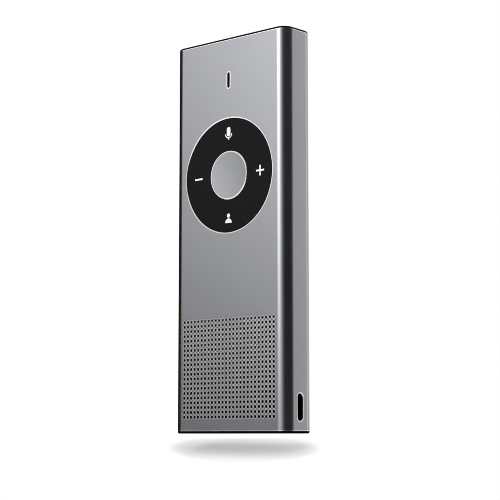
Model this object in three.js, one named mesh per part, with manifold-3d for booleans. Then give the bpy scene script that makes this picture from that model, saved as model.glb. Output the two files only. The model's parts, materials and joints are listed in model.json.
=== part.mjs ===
// Handheld voice translator: a slim anodised aluminium sleeve closed by two black end caps.
// A rocking ring key with a round button in its middle sits in the front face, a status slit
// is above it, a perforated speaker field is below it and a charging port is in the right side.
// Units are millimetres, +Z is up, the front face looks along -Y, and the origin lies at the
// middle of the bottom face.

import * as THREE from 'three';
import { mergeVertices } from 'three/addons/utils/BufferGeometryUtils.js';
import Module from 'manifold-3d';

const wasm = await Module();
wasm.setup();

// Outside of the device
const bodyWidth = 47.3;
const bodyDepth = 13.2;
const bodyHeight = 125;
const cornerRadius = 3.6;
const wall = 1.2;
const bottomEdge = 0.6;
const topEdge = 0.4;
const capRound = 0.3;
const plugLength = 2.2;

// Fits and gaps that several pieces share
const slideFit = 0.15;
const seatGap = 0.3;
const smallGap = 0.1;
const overrun = 2;
const weldDistance = 0.0001;

// Ring key, its opening and the round button in its middle
const keyFromTop = 44.3;
const ringMargin = 2.05;
const keyGap = 0.15;
const rimChamfer = 0.25;
const ringRecess = 0.15;
const ringLipThickness = 1.1;
const flangeGap = 0.6;
const flangeWidth = 1;
const flangeThickness = 0.6;
const ringStepGap = 0.7;
const pressInset = 3.2;
const nubRadius = 1.2;
const nubForkGap = 0.9;
const buttonRecess = 0.1;
const buttonCapThickness = 0.9;
const buttonFlangeWidth = 1.15;
const buttonFlangeGap = 0.35;
const buttonFlangeThickness = 0.6;
const plungerRadius = 1.5;

// Gimbal plate that lets the ring rock two ways, and the forks that hold its ears
const gimbalWidth = 1.7;
const gimbalThickness = 0.4;
const gimbalButtonGap = 0.4;
const gimbalRingGap = 0.6;
const gimbalFloorGap = 0.4;
const earLength = 1.4;
const earWidth = 1.6;
const forkGap = 0.5;
const forkLength = 1.2;
const forkPlay = 0.15;
const prongWidth = 0.9;
const prongReach = 0.25;

// Circuit board, snap domes and the key frame on the board's front
const boardThickness = 1;
const boardTopGap = 5.4;
const boardLowGap = 1;
const domeRadius = 2;
const domeHeight = 0.4;
const domeSheet = 0.12;
const domeClearance = 0.1;
const frameThickness = 0.8;
const frameMargin = 2.4;
const wellRadius = 2.5;

// Inner frame that slides into the sleeve
const speakerBay = 32.6;
const railWidth = 1.7;
const floorGap = 1.4;
const floorThickness = 0.6;
const boardSideGap = 0.2;

// Screws
const screwRadius = 0.8;
const screwHeadRadius = 1.5;
const screwHeadHeight = 0.7;
const screwClearance = 0.08;
const screwTipGap = 0.1;
const bossRadius = 1.9;
const screwInset = 2.3;
const highScrewDrop = 2.5;

// Chips, shield, status light, microphone and aerial
const shieldSheet = 0.2;
const shieldGap = 0.2;
const chipMargin = 0.7;
const processorSize = 11;
const memoryLength = 8;
const slitFromTop = 13.8;
const slitWidth = 0.85;
const slitLength = 4.8;
const slitChamfer = 0.15;
const pipeFit = 0.08;
const pipeBaseWidth = 2.6;
const pipeBaseLength = 7;
const pipeBaseRound = 0.65;
const ledWidth = 1.6;
const ledLength = 3.2;
const ledHeight = 0.7;
const ledGap = 0.2;
const micX = 8;
const micWidth = 3;
const micLength = 3.8;
const micThickness = 1.1;
const micDrop = 0.5;
const micPortRadius = 0.5;
const bootMargin = 0.6;
const bootThickness = 2.6;
const aerialWidth = 32;
const aerialHeight = 3.6;
const aerialThickness = 0.2;

// Battery and its lead tab
const batterySideGap = 3.6;
const batteryLowGap = 7;
const batteryHighGap = 14;
const batteryRound = 1.6;
const padThickness = 0.2;
const padMargin = 3;
const swellingGap = 0.4;
const connectorWidth = 8;
const connectorLength = 3;
const connectorHeight = 2;
const connectorRise = 1.5;
const tabWidth = 5;
const tabThickness = 0.3;
const floorWindowMargin = 1.5;

// Charging port, its small board and the flat cable up to the main board
const portRise = 0.63;
const portRecess = 0.2;
const shellLength = 7.15;
const shellWidth = 8.94;
const shellThickness = 3.16;
const shellSheet = 0.3;
const portGap = 0.1;
const portChamfer = 0.2;
const tongueWidth = 6.7;
const tongueThickness = 0.7;
const tongueSetBack = 1.3;
const insulatorLength = 1.8;
const insulatorFit = 0.02;
const portBoardWidth = 6.4;
const portBoardLength = 11.3;
const cableWidth = 4;
const cableThickness = 0.2;
const cableLanding = 1.5;
const cableBend = 3;
const speakerPortGap = 0.9;

// Speaker grille and the speaker behind it
const grilleBottom = 5.1;
const holePitch = 1.5;
const holeRadius = 0.425;
const holeRows = 21;
const grilleSideMargin = 0.9;
const grilleMargin = 0.7;
const meshThickness = 0.15;
const meshMargin = 0.55;
const gasketWidth = 1.7;
const gasketThickness = 1;
const basketGap = 0.3;
const basketFlange = 0.85;
const basketShoulder = 1;
const basketSheet = 0.6;
const basketHeight = 3.6;
const basketLip = 0.5;
const yokeSheet = 0.8;
const yokeHeight = 3;
const yokeFit = 0.1;
const magnetHeight = 1.4;
const magnetInset = 0.2;
const topPlateThickness = 0.7;
const coilPlay = 0.4;
const coilThickness = 0.4;
const coilHeight = 2.3;
const coneFlare = 2.5;
const coneDome = 0.8;
const coneDomeShare = 0.75;
const coneSheet = 0.2;
const surroundRoll = 0.8;
const surroundWidth = 3.4;
const surroundSheet = 0.15;
const surroundRim = 0.8;
const chamberSheet = 0.8;

// Steps of the round stretches
const fullTurn = 2 * Math.PI;
const ringSteps = 48;
const roundSteps = 24;
const smallSteps = 12;
const discSteps = 12;
const holeSteps = 5;
const arcSteps = 4;
const slotSteps = 2;
const domeArcSteps = 2;
const rollArcSteps = 4;
const capRoundSteps = 2;

// Places worked out from the sizes above
const halfWidth = bodyWidth / 2;
const halfDepth = bodyDepth / 2;
const innerHalfWidth = halfWidth - wall;
const innerCorner = cornerRadius - wall;
const rearWallDepth = bodyDepth - wall;
const flatHalfWidth = halfWidth - cornerRadius;
const plugTop = bottomEdge + plugLength;
const topPlugBottom = bodyHeight - topEdge - plugLength;
const keyHeight = bodyHeight - keyFromTop;
const slitHeight = bodyHeight - slitFromTop;
const ringRadius = flatHalfWidth - ringMargin;
const pressRadius = ringRadius - pressInset;
const forkEnd = pressRadius - nubRadius - nubForkGap;
const forkStart = forkEnd - forkLength;
const gimbalOuterRadius = forkStart - forkGap;
const gimbalInnerRadius = gimbalOuterRadius - gimbalWidth;
const buttonFlangeRadius = gimbalInnerRadius - gimbalButtonGap;
const ringStepRadius = buttonFlangeRadius + ringStepGap;
const buttonRadius = buttonFlangeRadius - buttonFlangeWidth;
const ringInnerRadius = buttonRadius + keyGap;
const ringLipBack = ringRecess + ringLipThickness;
const flangeFront = wall + flangeGap;
const ringBack = flangeFront + flangeThickness;
const gimbalFront = ringBack + gimbalRingGap;
const gimbalBack = gimbalFront + gimbalThickness;
const frameFront = gimbalBack + gimbalFloorGap;
const boardDepth = frameFront + frameThickness;
const boardBack = boardDepth + boardThickness;
const domeTop = boardDepth - domeHeight;
const pressDepth = domeTop - domeClearance;
const floorFront = boardBack + floorGap;
const floorBack = floorFront + floorThickness;
const chassisBottom = plugTop + speakerBay;
const chassisTop = topPlugBottom - slideFit;
const chassisHalfWidth = innerHalfWidth - slideFit;
const railInner = chassisHalfWidth - railWidth;
const railHalfDepth = halfDepth - cornerRadius - smallGap;
const boardHalfWidth = railInner - boardSideGap;
const boardBottom = chassisBottom + boardLowGap;
const boardTop = topPlugBottom - boardTopGap;
const frameHalfHeight = ringRadius + flangeWidth + frameMargin;
const screwX = boardHalfWidth - screwInset;
const screwTip = floorBack - screwTipGap;
const holeColumns = Math.floor((2 * (flatHalfWidth - grilleSideMargin)) / holePitch) + 1;
const grilleWidth = holePitch * (holeColumns - 1);
const grilleHeight = holePitch * (holeRows - 1);
const grilleMiddle = grilleBottom + grilleHeight / 2;
const windowWidth = grilleWidth + 2 * (holeRadius + grilleMargin);
const windowHeight = grilleHeight + 2 * (holeRadius + grilleMargin);
const portHeight = plugTop + portRise + shellWidth / 2;
const portBoardBack = halfDepth - shellThickness / 2;
const portBoardFront = portBoardBack - boardThickness;
const portBoardLeft = chassisHalfWidth - seatGap - portBoardWidth;
const chamberLeft = -flatHalfWidth;
const chamberRight = portBoardLeft - speakerPortGap;
const speakerX = (chamberLeft + chamberRight) / 2;
const chamberBottom = plugTop + seatGap;
const chamberTop = chassisBottom - seatGap;
const speakerHeight = (chamberBottom + chamberTop) / 2;

// Finishes
function finish(color, roughness, metalness) {
  return new THREE.MeshStandardMaterial({ color, roughness, metalness });
}

// A geometry as one closed skin: corners welded, slivers dropped, faces looking outward
function closed(geometry) {
  const bare = geometry.clone();
  bare.deleteAttribute('normal');
  bare.deleteAttribute('uv');
  const welded = mergeVertices(bare, weldDistance);
  const corners = welded.index.array;
  const [a, b, c] = [new THREE.Vector3(), new THREE.Vector3(), new THREE.Vector3()];
  const kept = [];
  let volume = 0;
  for (let first = 0; first < corners.length; first += 3) {
    const [p, q, r] = corners.slice(first, first + 3);
    if (p === q || q === r || r === p) continue;
    kept.push(p, q, r);
    a.fromBufferAttribute(welded.attributes.position, p);
    b.fromBufferAttribute(welded.attributes.position, q);
    c.fromBufferAttribute(welded.attributes.position, r);
    volume += a.dot(b.cross(c));
  }
  if (volume < 0) kept.reverse();
  welded.setIndex(kept);
  welded.computeVertexNormals();
  return welded;
}

function toManifold(geometry) {
  const skin = closed(geometry);
  const vertProperties = Float32Array.from(skin.attributes.position.array);
  const triVerts = Uint32Array.from(skin.index.array);
  return new wasm.Manifold(new wasm.Mesh({ numProp: 3, vertProperties, triVerts }));
}

function toGeometry(manifold) {
  const mesh = manifold.getMesh();
  const geometry = new THREE.BufferGeometry();
  geometry.setAttribute('position', new THREE.BufferAttribute(mesh.vertProperties, 3));
  geometry.setIndex(Array.from(mesh.triVerts));
  geometry.computeVertexNormals();
  return geometry;
}

function join(...geometries) {
  return toGeometry(geometries.map(toManifold).reduce((sum, next) => sum.add(next)));
}

function cut(geometry, ...tools) {
  return toGeometry(tools.map(toManifold).reduce((rest, tool) => rest.subtract(tool), toManifold(geometry)));
}

function common(geometry, other) {
  return toGeometry(toManifold(geometry).intersect(toManifold(other)));
}

// Flat outlines, centred on the origin
function rectangle(width, height) {
  const [x, y] = [width / 2, height / 2];
  return new THREE.Shape([
    new THREE.Vector2(-x, -y),
    new THREE.Vector2(x, -y),
    new THREE.Vector2(x, y),
    new THREE.Vector2(-x, y),
  ]);
}

function roundedRectangle(width, height, radius) {
  const [x, y] = [width / 2 - radius, height / 2 - radius];
  const shape = new THREE.Shape();
  shape.absarc(x, y, radius, 0, fullTurn / 4);
  shape.absarc(-x, y, radius, fullTurn / 4, fullTurn / 2);
  shape.absarc(-x, -y, radius, fullTurn / 2, (3 * fullTurn) / 4);
  shape.absarc(x, -y, radius, (3 * fullTurn) / 4, fullTurn);
  return shape;
}

function disc(radius) {
  const shape = new THREE.Shape();
  shape.absarc(0, 0, radius, 0, fullTurn);
  return shape;
}

function annulus(outer, inner) {
  const shape = disc(outer);
  const hole = new THREE.Path();
  hole.absarc(0, 0, inner, 0, fullTurn);
  shape.holes.push(hole);
  return shape;
}

function slot(width, length) {
  return roundedRectangle(width, length, Math.min(width, length) / 2);
}

// Extrusions. A slab lies between two depths behind the face that its group stands for.
function prism(shape, low, high, curveSegments = arcSteps) {
  const depth = high - low;
  const geometry = new THREE.ExtrudeGeometry(shape, { depth, bevelEnabled: false, curveSegments });
  return geometry.translate(0, 0, low);
}

function slab(shape, near, far, curveSegments = arcSteps) {
  return prism(shape, -far, -near, curveSegments);
}

function box(left, right, bottom, top, near, far) {
  const geometry = slab(rectangle(right - left, top - bottom), near, far);
  return geometry.translate((left + right) / 2, (bottom + top) / 2, 0);
}

// A turned body about its group's facing axis, from [radius, depth] corners that close on themselves
function turned(profile, steps) {
  const corners = [...profile, profile[0]];
  const points = corners.map(([radius, depth]) => new THREE.Vector2(radius, -depth));
  return new THREE.LatheGeometry(points, steps).rotateX(fullTurn / 4);
}

// An opening through a wall from its face, with a small flare at the face
function flaredCutter(shape, through, flare, curveSegments = arcSteps) {
  const straight = slab(shape, -overrun, through, curveSegments);
  const flared = new THREE.ExtrudeGeometry(shape, {
    depth: overrun,
    bevelThickness: flare,
    bevelSize: flare,
    bevelSegments: 1,
    curveSegments,
  });
  return join(straight, flared);
}

// The scene graph. The front group's z = 0 is the front face, with +z towards the user; the
// side group's z = 0 is the right side face, with +z away from the device.
const device = new THREE.Group();
const front = new THREE.Group();
front.rotation.x = fullTurn / 4;
front.position.y = -halfDepth;
device.add(front);
const keypad = new THREE.Group();
keypad.position.y = keyHeight;
front.add(keypad);
const speaker = new THREE.Group();
speaker.position.set(speakerX, speakerHeight, 0);
front.add(speaker);
const side = new THREE.Group();
side.rotation.set(fullTurn / 4, fullTurn / 4, 0);
side.position.set(halfWidth, 0, portHeight);
device.add(side);

function add(parent, name, geometry, material, x = 0, y = 0) {
  const mesh = new THREE.Mesh(closed(geometry), material);
  mesh.name = name;
  mesh.position.set(x, y, 0);
  parent.add(mesh);
}

function fromGroup(geometry, group) {
  group.updateWorldMatrix(true, false);
  return geometry.clone().applyMatrix4(group.matrixWorld);
}

// Sleeve: an extruded tube with a round key opening, the status slit, the grille window and
// the port slot cut through its wall
function sleeveGeometry() {
  const outerShape = roundedRectangle(bodyWidth, bodyDepth, cornerRadius);
  const outside = prism(outerShape, bottomEdge, bodyHeight - topEdge);
  const innerShape = roundedRectangle(2 * innerHalfWidth, bodyDepth - 2 * wall, innerCorner);
  const inside = prism(innerShape, -overrun, bodyHeight + overrun);
  const holeRadiusAtKey = ringRadius + keyGap;
  const keyHole = turned([
    [0, -overrun],
    [holeRadiusAtKey + rimChamfer, -overrun],
    [holeRadiusAtKey + rimChamfer, 0],
    [holeRadiusAtKey, rimChamfer],
    [holeRadiusAtKey, wall + seatGap],
    [0, wall + seatGap],
  ], ringSteps);
  const slitCutter = flaredCutter(slot(slitWidth, slitLength), wall + seatGap, slitChamfer, slotSteps);
  const slit = slitCutter.translate(0, slitHeight, 0);
  const window = slab(rectangle(windowWidth, windowHeight), -overrun, wall + seatGap);
  const portShape = slot(shellThickness + 2 * portGap, shellWidth + 2 * portGap);
  return cut(
    outside,
    inside,
    fromGroup(keyHole, keypad),
    fromGroup(slit, front),
    fromGroup(window.translate(0, grilleMiddle, 0), front),
    fromGroup(flaredCutter(portShape, wall + seatGap, portChamfer, slotSteps), side),
  );
}
add(device, 'housing_sleeve', sleeveGeometry(), finish(0x9a9b9f, 0.34, 1));

// Perforated speaker field, flush with the sleeve's front. Each hole has four corners that
// give it the area of the round hole.
function grilleGeometry() {
  const shape = rectangle(windowWidth, windowHeight);
  const corner = holeRadius * Math.sqrt(Math.PI / 2);
  for (let column = 0; column < holeColumns; column += 1) {
    for (let row = 0; row < holeRows; row += 1) {
      const x = column * holePitch - grilleWidth / 2;
      const y = row * holePitch - grilleHeight / 2;
      shape.holes.push(new THREE.Path([
        new THREE.Vector2(x, y - corner),
        new THREE.Vector2(x - corner, y),
        new THREE.Vector2(x, y + corner),
        new THREE.Vector2(x + corner, y),
      ]));
    }
  }
  return slab(shape, 0, wall);
}
add(front, 'speaker_grille', grilleGeometry(), finish(0x96979b, 0.36, 1), 0, grilleMiddle);

// End caps: a thin visible edge with a rounded rim, and a plug that fits inside the sleeve
function capGeometry(edge, plugShift) {
  const outline = roundedRectangle(bodyWidth, bodyDepth, cornerRadius);
  const rounded = new THREE.ExtrudeGeometry(outline, {
    depth: edge + overrun,
    bevelThickness: capRound,
    bevelSize: capRound,
    bevelOffset: -capRound,
    bevelSegments: capRoundSteps,
    curveSegments: arcSteps,
  }).translate(0, 0, capRound);
  const plate = common(rounded, prism(outline, 0, edge));
  const plugWidth = 2 * (innerHalfWidth - slideFit);
  const plugDepth = bodyDepth - 2 * (wall + slideFit);
  const plugShape = roundedRectangle(plugWidth, plugDepth, innerCorner - slideFit);
  return join(plate, prism(plugShape, edge - plugShift, edge + plugLength));
}
const capPlastic = finish(0x0b0b0c, 0.45, 0);
add(device, 'bottom_end_cap', capGeometry(bottomEdge, bottomEdge / 2), capPlastic);

// The top cap is the same form turned over, with the microphone's port through it
const micDepth = boardDepth - micThickness / 2;
const micPort = prism(disc(micPortRadius), topPlugBottom - overrun, bodyHeight + overrun, holeSteps);
micPort.translate(micX, micDepth - halfDepth, 0);
const topCap = capGeometry(topEdge, topEdge / 2).rotateX(fullTurn / 2).translate(0, 0, bodyHeight);
add(device, 'top_end_cap', cut(topCap, micPort), finish(0x0b0b0c, 0.45, 0));

// Inner frame: a floor between board and battery, two side rails, and screw bosses
const frameScrewRise = frameHalfHeight - screwInset;
const frameScrewPlaces = [
  [screwX, keyHeight - frameScrewRise],
  [-screwX, keyHeight - frameScrewRise],
  [screwX, keyHeight + frameScrewRise],
  [-screwX, keyHeight + frameScrewRise],
];
const boardScrewPlaces = [
  [screwX, boardTop - highScrewDrop],
  [-screwX, boardTop - highScrewDrop],
];
const screwPlaces = [...frameScrewPlaces, ...boardScrewPlaces];
const connectorBottom = boardBottom + connectorRise;
const screwHole = disc(screwRadius + screwClearance);

function drilled(geometry, near, far) {
  const holes = screwPlaces.map(([x, y]) => slab(screwHole, near, far, holeSteps).translate(x, y, 0));
  return cut(geometry, ...holes);
}

function innerFrameGeometry() {
  const floor = box(-chassisHalfWidth, chassisHalfWidth, chassisBottom, chassisTop, floorFront, floorBack);
  const rails = [1, -1].map((hand) => box(
    Math.min(hand * railInner, hand * chassisHalfWidth),
    Math.max(hand * railInner, hand * chassisHalfWidth),
    chassisBottom,
    chassisTop,
    halfDepth - railHalfDepth,
    halfDepth + railHalfDepth,
  ));
  const bosses = screwPlaces.map(([x, y]) => (
    slab(disc(bossRadius), boardBack, floorFront + floorThickness / 2, holeSteps).translate(x, y, 0)
  ));
  const windowHalf = connectorWidth / 2 + floorWindowMargin;
  const windowBottom = connectorBottom - floorWindowMargin / 2;
  const windowTop = connectorBottom + connectorLength + floorWindowMargin;
  const [near, far] = [floorFront - overrun, floorBack + overrun];
  const opening = box(-windowHalf, windowHalf, windowBottom, windowTop, near, far);
  const body = cut(join(floor, ...rails, ...bosses), opening);
  return drilled(body, boardBack - overrun, floorBack + overrun);
}
add(front, 'inner_frame', innerFrameGeometry(), finish(0x202124, 0.6, 0));

// Main board and the key frame that is screwed down on it
const boardGeometry = box(-boardHalfWidth, boardHalfWidth, boardBottom, boardTop, boardDepth, boardBack);
const drilledBoard = drilled(boardGeometry, boardDepth - overrun, boardBack + overrun);
add(front, 'main_board', drilledBoard, finish(0x0f4a2c, 0.5, 0));

const pressPlaces = {
  voice: [0, pressRadius],
  person: [0, -pressRadius],
  louder: [pressRadius, 0],
  quieter: [-pressRadius, 0],
};

function keyFrameGeometry() {
  const plate = slab(rectangle(2 * boardHalfWidth, 2 * frameHalfHeight), frameFront, boardDepth);
  const forkNear = gimbalFront - smallGap;
  const forkHalf = earWidth / 2 + forkPlay + prongWidth;
  const slotHalf = earWidth / 2 + forkPlay;
  const forks = [1, -1].map((hand) => {
    const [left, right] = [hand * forkStart, hand * forkEnd].sort((p, q) => p - q);
    const block = box(left, right, -forkHalf, forkHalf, forkNear, frameFront + frameThickness / 2);
    const gap = box(left - overrun, right + overrun, -slotHalf, slotHalf, -overrun, gimbalBack + smallGap);
    return cut(block, gap);
  });
  const wells = [[0, 0], ...Object.values(pressPlaces)].map(([x, y]) => (
    slab(disc(wellRadius), -overrun, boardDepth + overrun, holeSteps).translate(x, y, 0)
  ));
  const frame = cut(join(plate, ...forks), ...wells);
  const holes = frameScrewPlaces.map(([x, y]) => (
    slab(screwHole, -overrun, boardDepth + overrun, holeSteps).translate(x, y - keyHeight, 0)
  ));
  return cut(frame, ...holes);
}
add(keypad, 'key_frame', keyFrameGeometry(), finish(0x1a1b1d, 0.55, 0));

// Screws: a domed head on the board or on the key frame, and a shank into the frame's boss
function screwGeometry(seat) {
  return turned([
    [0, seat - screwHeadHeight],
    [screwHeadRadius / 2, seat - screwHeadHeight],
    [screwHeadRadius, seat - screwHeadHeight / 2],
    [screwHeadRadius, seat],
    [screwRadius, seat],
    [screwRadius, screwTip],
    [0, screwTip],
  ], smallSteps);
}
screwPlaces.forEach(([x, y], index) => {
  const seat = index < frameScrewPlaces.length ? frameFront : boardDepth;
  add(front, `board_screw_${index + 1}`, screwGeometry(seat), finish(0xa9abad, 0.35, 1), x, y);
});

// Snap domes under the four press points and under the button
function domeGeometry() {
  const rise = (domeHeight * domeHeight + domeRadius * domeRadius) / (2 * domeHeight);
  const arc = (radius, height) => Array.from({ length: domeArcSteps + 1 }, (_, step) => {
    const across = (radius * step) / domeArcSteps;
    return [across, domeTop + rise - Math.sqrt(rise * rise - across * across) + height];
  });
  const outside = arc(domeRadius, 0);
  const inside = arc(domeRadius - domeSheet, domeSheet).map(([across, depth]) => (
    [across, Math.min(depth, boardDepth)]
  ));
  return turned([...outside, ...inside.reverse()], smallSteps);
}
for (const [place, [x, y]] of Object.entries({ ...pressPlaces, button: [0, 0] })) {
  add(keypad, `dome_${place}`, domeGeometry(), finish(0xc9cac8, 0.25, 1), x, y);
}

// Gimbal plate: a thin ring with two ears across and two ears up and down
function gimbalGeometry() {
  const ring = slab(annulus(gimbalOuterRadius, gimbalInnerRadius), gimbalFront, gimbalBack, discSteps);
  const reach = gimbalOuterRadius + earLength;
  const root = (gimbalOuterRadius + gimbalInnerRadius) / 2;
  const across = [1, -1].map((hand) => {
    const [left, right] = [hand * root, hand * reach].sort((p, q) => p - q);
    return box(left, right, -earWidth / 2, earWidth / 2, gimbalFront, gimbalBack);
  });
  const upright = across.map((ear) => ear.clone().rotateZ(fullTurn / 4));
  return join(ring, ...across, ...upright);
}
add(keypad, 'gimbal_plate', gimbalGeometry(), finish(0xb4b6b8, 0.3, 1));

// Ring key: the visible black ring, a flange behind the face, four nubs and two pairs of prongs
function ringKeyGeometry() {
  const flangeRadius = ringRadius + flangeWidth;
  const ring = turned([
    [ringInnerRadius, ringRecess],
    [ringRadius, ringRecess],
    [ringRadius, flangeFront],
    [flangeRadius, flangeFront],
    [flangeRadius, ringBack],
    [ringStepRadius, ringBack],
    [ringStepRadius, ringLipBack],
    [ringInnerRadius, ringLipBack],
  ], ringSteps);
  const nubs = Object.values(pressPlaces).map(([x, y]) => (
    slab(disc(nubRadius), ringBack - flangeThickness / 2, pressDepth, holeSteps).translate(x, y, 0)
  ));
  const prongNear = earWidth / 2 + forkPlay;
  const prongs = [];
  for (const hand of [1, -1]) {
    for (const height of [1, -1]) {
      const [left, right] = [hand * prongNear, hand * (prongNear + prongWidth)].sort((p, q) => p - q);
      const [low, high] = [height * forkStart, height * forkEnd].sort((p, q) => p - q);
      prongs.push(box(left, right, low, high, ringBack - flangeThickness / 2, gimbalFront + prongReach));
    }
  }
  return join(ring, ...nubs, ...prongs);
}
add(keypad, 'ring_key', ringKeyGeometry(), finish(0x18181a, 0.5, 0));

// Round button: a thin metal cap on a plastic carrier, whose plunger reaches the middle dome
const capBack = buttonRecess + buttonCapThickness;
const buttonFlangeFront = ringLipBack + buttonFlangeGap;
const buttonFlangeBack = buttonFlangeFront + buttonFlangeThickness;
const buttonCap = turned([
  [0, buttonRecess],
  [buttonRadius - rimChamfer, buttonRecess],
  [buttonRadius, buttonRecess + rimChamfer],
  [buttonRadius, capBack],
  [0, capBack],
], ringSteps);
add(keypad, 'button_cap', buttonCap, finish(0xa6a7ab, 0.3, 1));

const buttonCarrier = turned([
  [0, capBack],
  [buttonRadius, capBack],
  [buttonRadius, buttonFlangeFront],
  [buttonFlangeRadius, buttonFlangeFront],
  [buttonFlangeRadius, buttonFlangeBack],
  [plungerRadius, buttonFlangeBack],
  [plungerRadius, pressDepth],
  [0, pressDepth],
], roundSteps);
add(keypad, 'button_carrier', buttonCarrier, finish(0x2a2b2d, 0.6, 0));

// Shield can on the board's back, behind the key, over the processor and the memory
const shieldHeight = floorGap - shieldGap;
const shieldBack = boardBack + shieldHeight;
const shieldHalfWidth = processorSize / 2 + chipMargin + shieldSheet;
const shieldLength = processorSize + memoryLength + 3 * chipMargin + 2 * shieldSheet;
const shieldBottom = keyHeight - shieldLength / 2;
const shieldTop = keyHeight + shieldLength / 2;
const shieldOuter = box(-shieldHalfWidth, shieldHalfWidth, shieldBottom, shieldTop, boardBack, shieldBack);
const shieldInner = box(
  shieldSheet - shieldHalfWidth,
  shieldHalfWidth - shieldSheet,
  shieldBottom + shieldSheet,
  shieldTop - shieldSheet,
  boardBack - overrun,
  shieldBack - shieldSheet,
);
add(front, 'shield_can', cut(shieldOuter, shieldInner), finish(0xb9bbbd, 0.35, 1));

const chipBack = shieldBack - shieldSheet - shieldGap;
const memoryMiddle = shieldBottom + shieldSheet + chipMargin + memoryLength / 2;
const processorMiddle = shieldTop - shieldSheet - chipMargin - processorSize / 2;
const processor = slab(rectangle(processorSize, processorSize), boardBack, chipBack);
add(front, 'processor', processor, finish(0x141416, 0.5, 0), 0, processorMiddle);
const memory = slab(rectangle(processorSize, memoryLength), boardBack, chipBack);
add(front, 'memory_chip', memory, finish(0x17171a, 0.5, 0), 0, memoryMiddle);

// Status light: a light pipe in the slit and the lamp behind it
const ledFront = boardDepth - ledHeight;
const pipeShape = slot(slitWidth - 2 * pipeFit, slitLength - 2 * pipeFit);
const pipeStem = slab(pipeShape, ringRecess, wall + pipeFit, slotSteps);
const pipeBaseShape = roundedRectangle(pipeBaseWidth, pipeBaseLength, pipeBaseRound);
const pipeBase = slab(pipeBaseShape, wall, ledFront - ledGap, slotSteps);
add(front, 'light_pipe', join(pipeStem, pipeBase), finish(0x0a0a0a, 0.2, 0), 0, slitHeight);
const led = slab(rectangle(ledWidth, ledLength), ledFront, boardDepth);
add(front, 'status_led', led, finish(0xe8e4d0, 0.4, 0), 0, slitHeight);

// Microphone at the board's top edge, with a rubber boot up to the port in the top cap
const micFront = boardDepth - micThickness;
const micTop = boardTop - micDrop;
const mic = box(-micWidth / 2, micWidth / 2, micTop - micLength, micTop, micFront, boardDepth);
add(front, 'microphone', mic, finish(0xc8b070, 0.35, 1), micX);
const bootShape = rectangle(micWidth + 2 * bootMargin, bootThickness);
const bootHole = new THREE.Path();
bootHole.absarc(0, 0, micPortRadius, 0, fullTurn);
bootShape.holes.push(bootHole);
const boot = new THREE.Mesh(
  closed(prism(bootShape, boardTop + smallGap, topPlugBottom - smallGap, holeSteps)),
  finish(0x1c1c1c, 0.85, 0),
);
boot.name = 'microphone_boot';
boot.position.set(micX, micDepth - halfDepth, 0);
device.add(boot);

// Aerial strip on the inner frame, behind the plastic top cap
const aerialTop = chassisTop - smallGap;
const aerialBottom = aerialTop - aerialHeight;
const aerialFront = floorFront - aerialThickness;
const aerial = box(-aerialWidth / 2, aerialWidth / 2, aerialBottom, aerialTop, aerialFront, floorFront);
add(front, 'aerial_strip', aerial, finish(0xb87333, 0.4, 1));

// Battery behind the inner frame's floor, on an adhesive pad, with its lead tab and connector
const batteryBottom = chassisBottom + batteryLowGap;
const batteryTop = boardTop - batteryHighGap;
const batteryFront = floorBack + padThickness;
const batteryBack = rearWallDepth - swellingGap;
const batteryWidth = 2 * (railInner - batterySideGap);
const batteryThickness = batteryBack - batteryFront;
const batteryShape = roundedRectangle(
  batteryWidth,
  batteryThickness,
  Math.min(batteryRound, batteryThickness / 2 - smallGap),
);
const battery = new THREE.Mesh(
  closed(prism(batteryShape, batteryBottom, batteryTop, slotSteps)),
  finish(0xb9bcc0, 0.4, 0.6),
);
battery.name = 'battery_pack';
battery.position.y = (batteryFront + batteryBack) / 2 - halfDepth;
device.add(battery);
const padHalf = batteryWidth / 2 - padMargin;
const [padBottom, padTop] = [batteryBottom + padMargin, batteryTop - padMargin];
const pad = box(-padHalf, padHalf, padBottom, padTop, floorBack, batteryFront);
add(front, 'battery_pad', pad, finish(0xd9d9d4, 0.8, 0));
const connectorTop = connectorBottom + connectorLength;
const connectorBack = boardBack + connectorHeight;
const connectorHalf = connectorWidth / 2;
const connector = box(-connectorHalf, connectorHalf, connectorBottom, connectorTop, boardBack, connectorBack);
add(front, 'battery_connector', connector, finish(0xe9e6da, 0.5, 0));
const tabNear = Math.max(connectorBack, floorBack) + smallGap;
const tabFar = tabNear + tabThickness;
const tab = box(-tabWidth / 2, tabWidth / 2, connectorBottom, batteryBottom, tabNear, tabFar);
add(front, 'battery_tab', tab, finish(0xc98a2b, 0.5, 0));

// Charging port: a folded steel shell, the insulator with its contact tongue, and the small board
const shellBack = portRecess + shellLength;
const shellOutside = slab(slot(shellThickness, shellWidth), portRecess, shellBack, slotSteps);
const shellBore = slot(shellThickness - 2 * shellSheet, shellWidth - 2 * shellSheet);
const shellInside = slab(shellBore, -overrun, shellBack - shellSheet, slotSteps);
add(side, 'port_shell', cut(shellOutside, shellInside), finish(0xc4c6c8, 0.25, 1));
const insulatorInset = 2 * (shellSheet + insulatorFit);
const insulatorShape = slot(shellThickness - insulatorInset, shellWidth - insulatorInset);
const insulatorBack = shellBack - shellSheet - insulatorFit;
const insulatorFront = insulatorBack - insulatorLength;
const insulator = slab(insulatorShape, insulatorFront, insulatorBack, slotSteps);
const tongueShape = rectangle(tongueThickness, tongueWidth);
const tongueFront = portRecess + tongueSetBack;
const tongue = slab(tongueShape, tongueFront, insulatorBack - insulatorLength / 2);
add(side, 'port_tongue', join(insulator, tongue), finish(0x0e0e0f, 0.45, 0));
const portBoard = box(
  portBoardLeft,
  portBoardLeft + portBoardWidth,
  plugTop + seatGap,
  plugTop + seatGap + portBoardLength,
  portBoardFront,
  portBoardBack,
);
add(front, 'port_board', portBoard, finish(0x0f4a2c, 0.5, 0));

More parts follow.
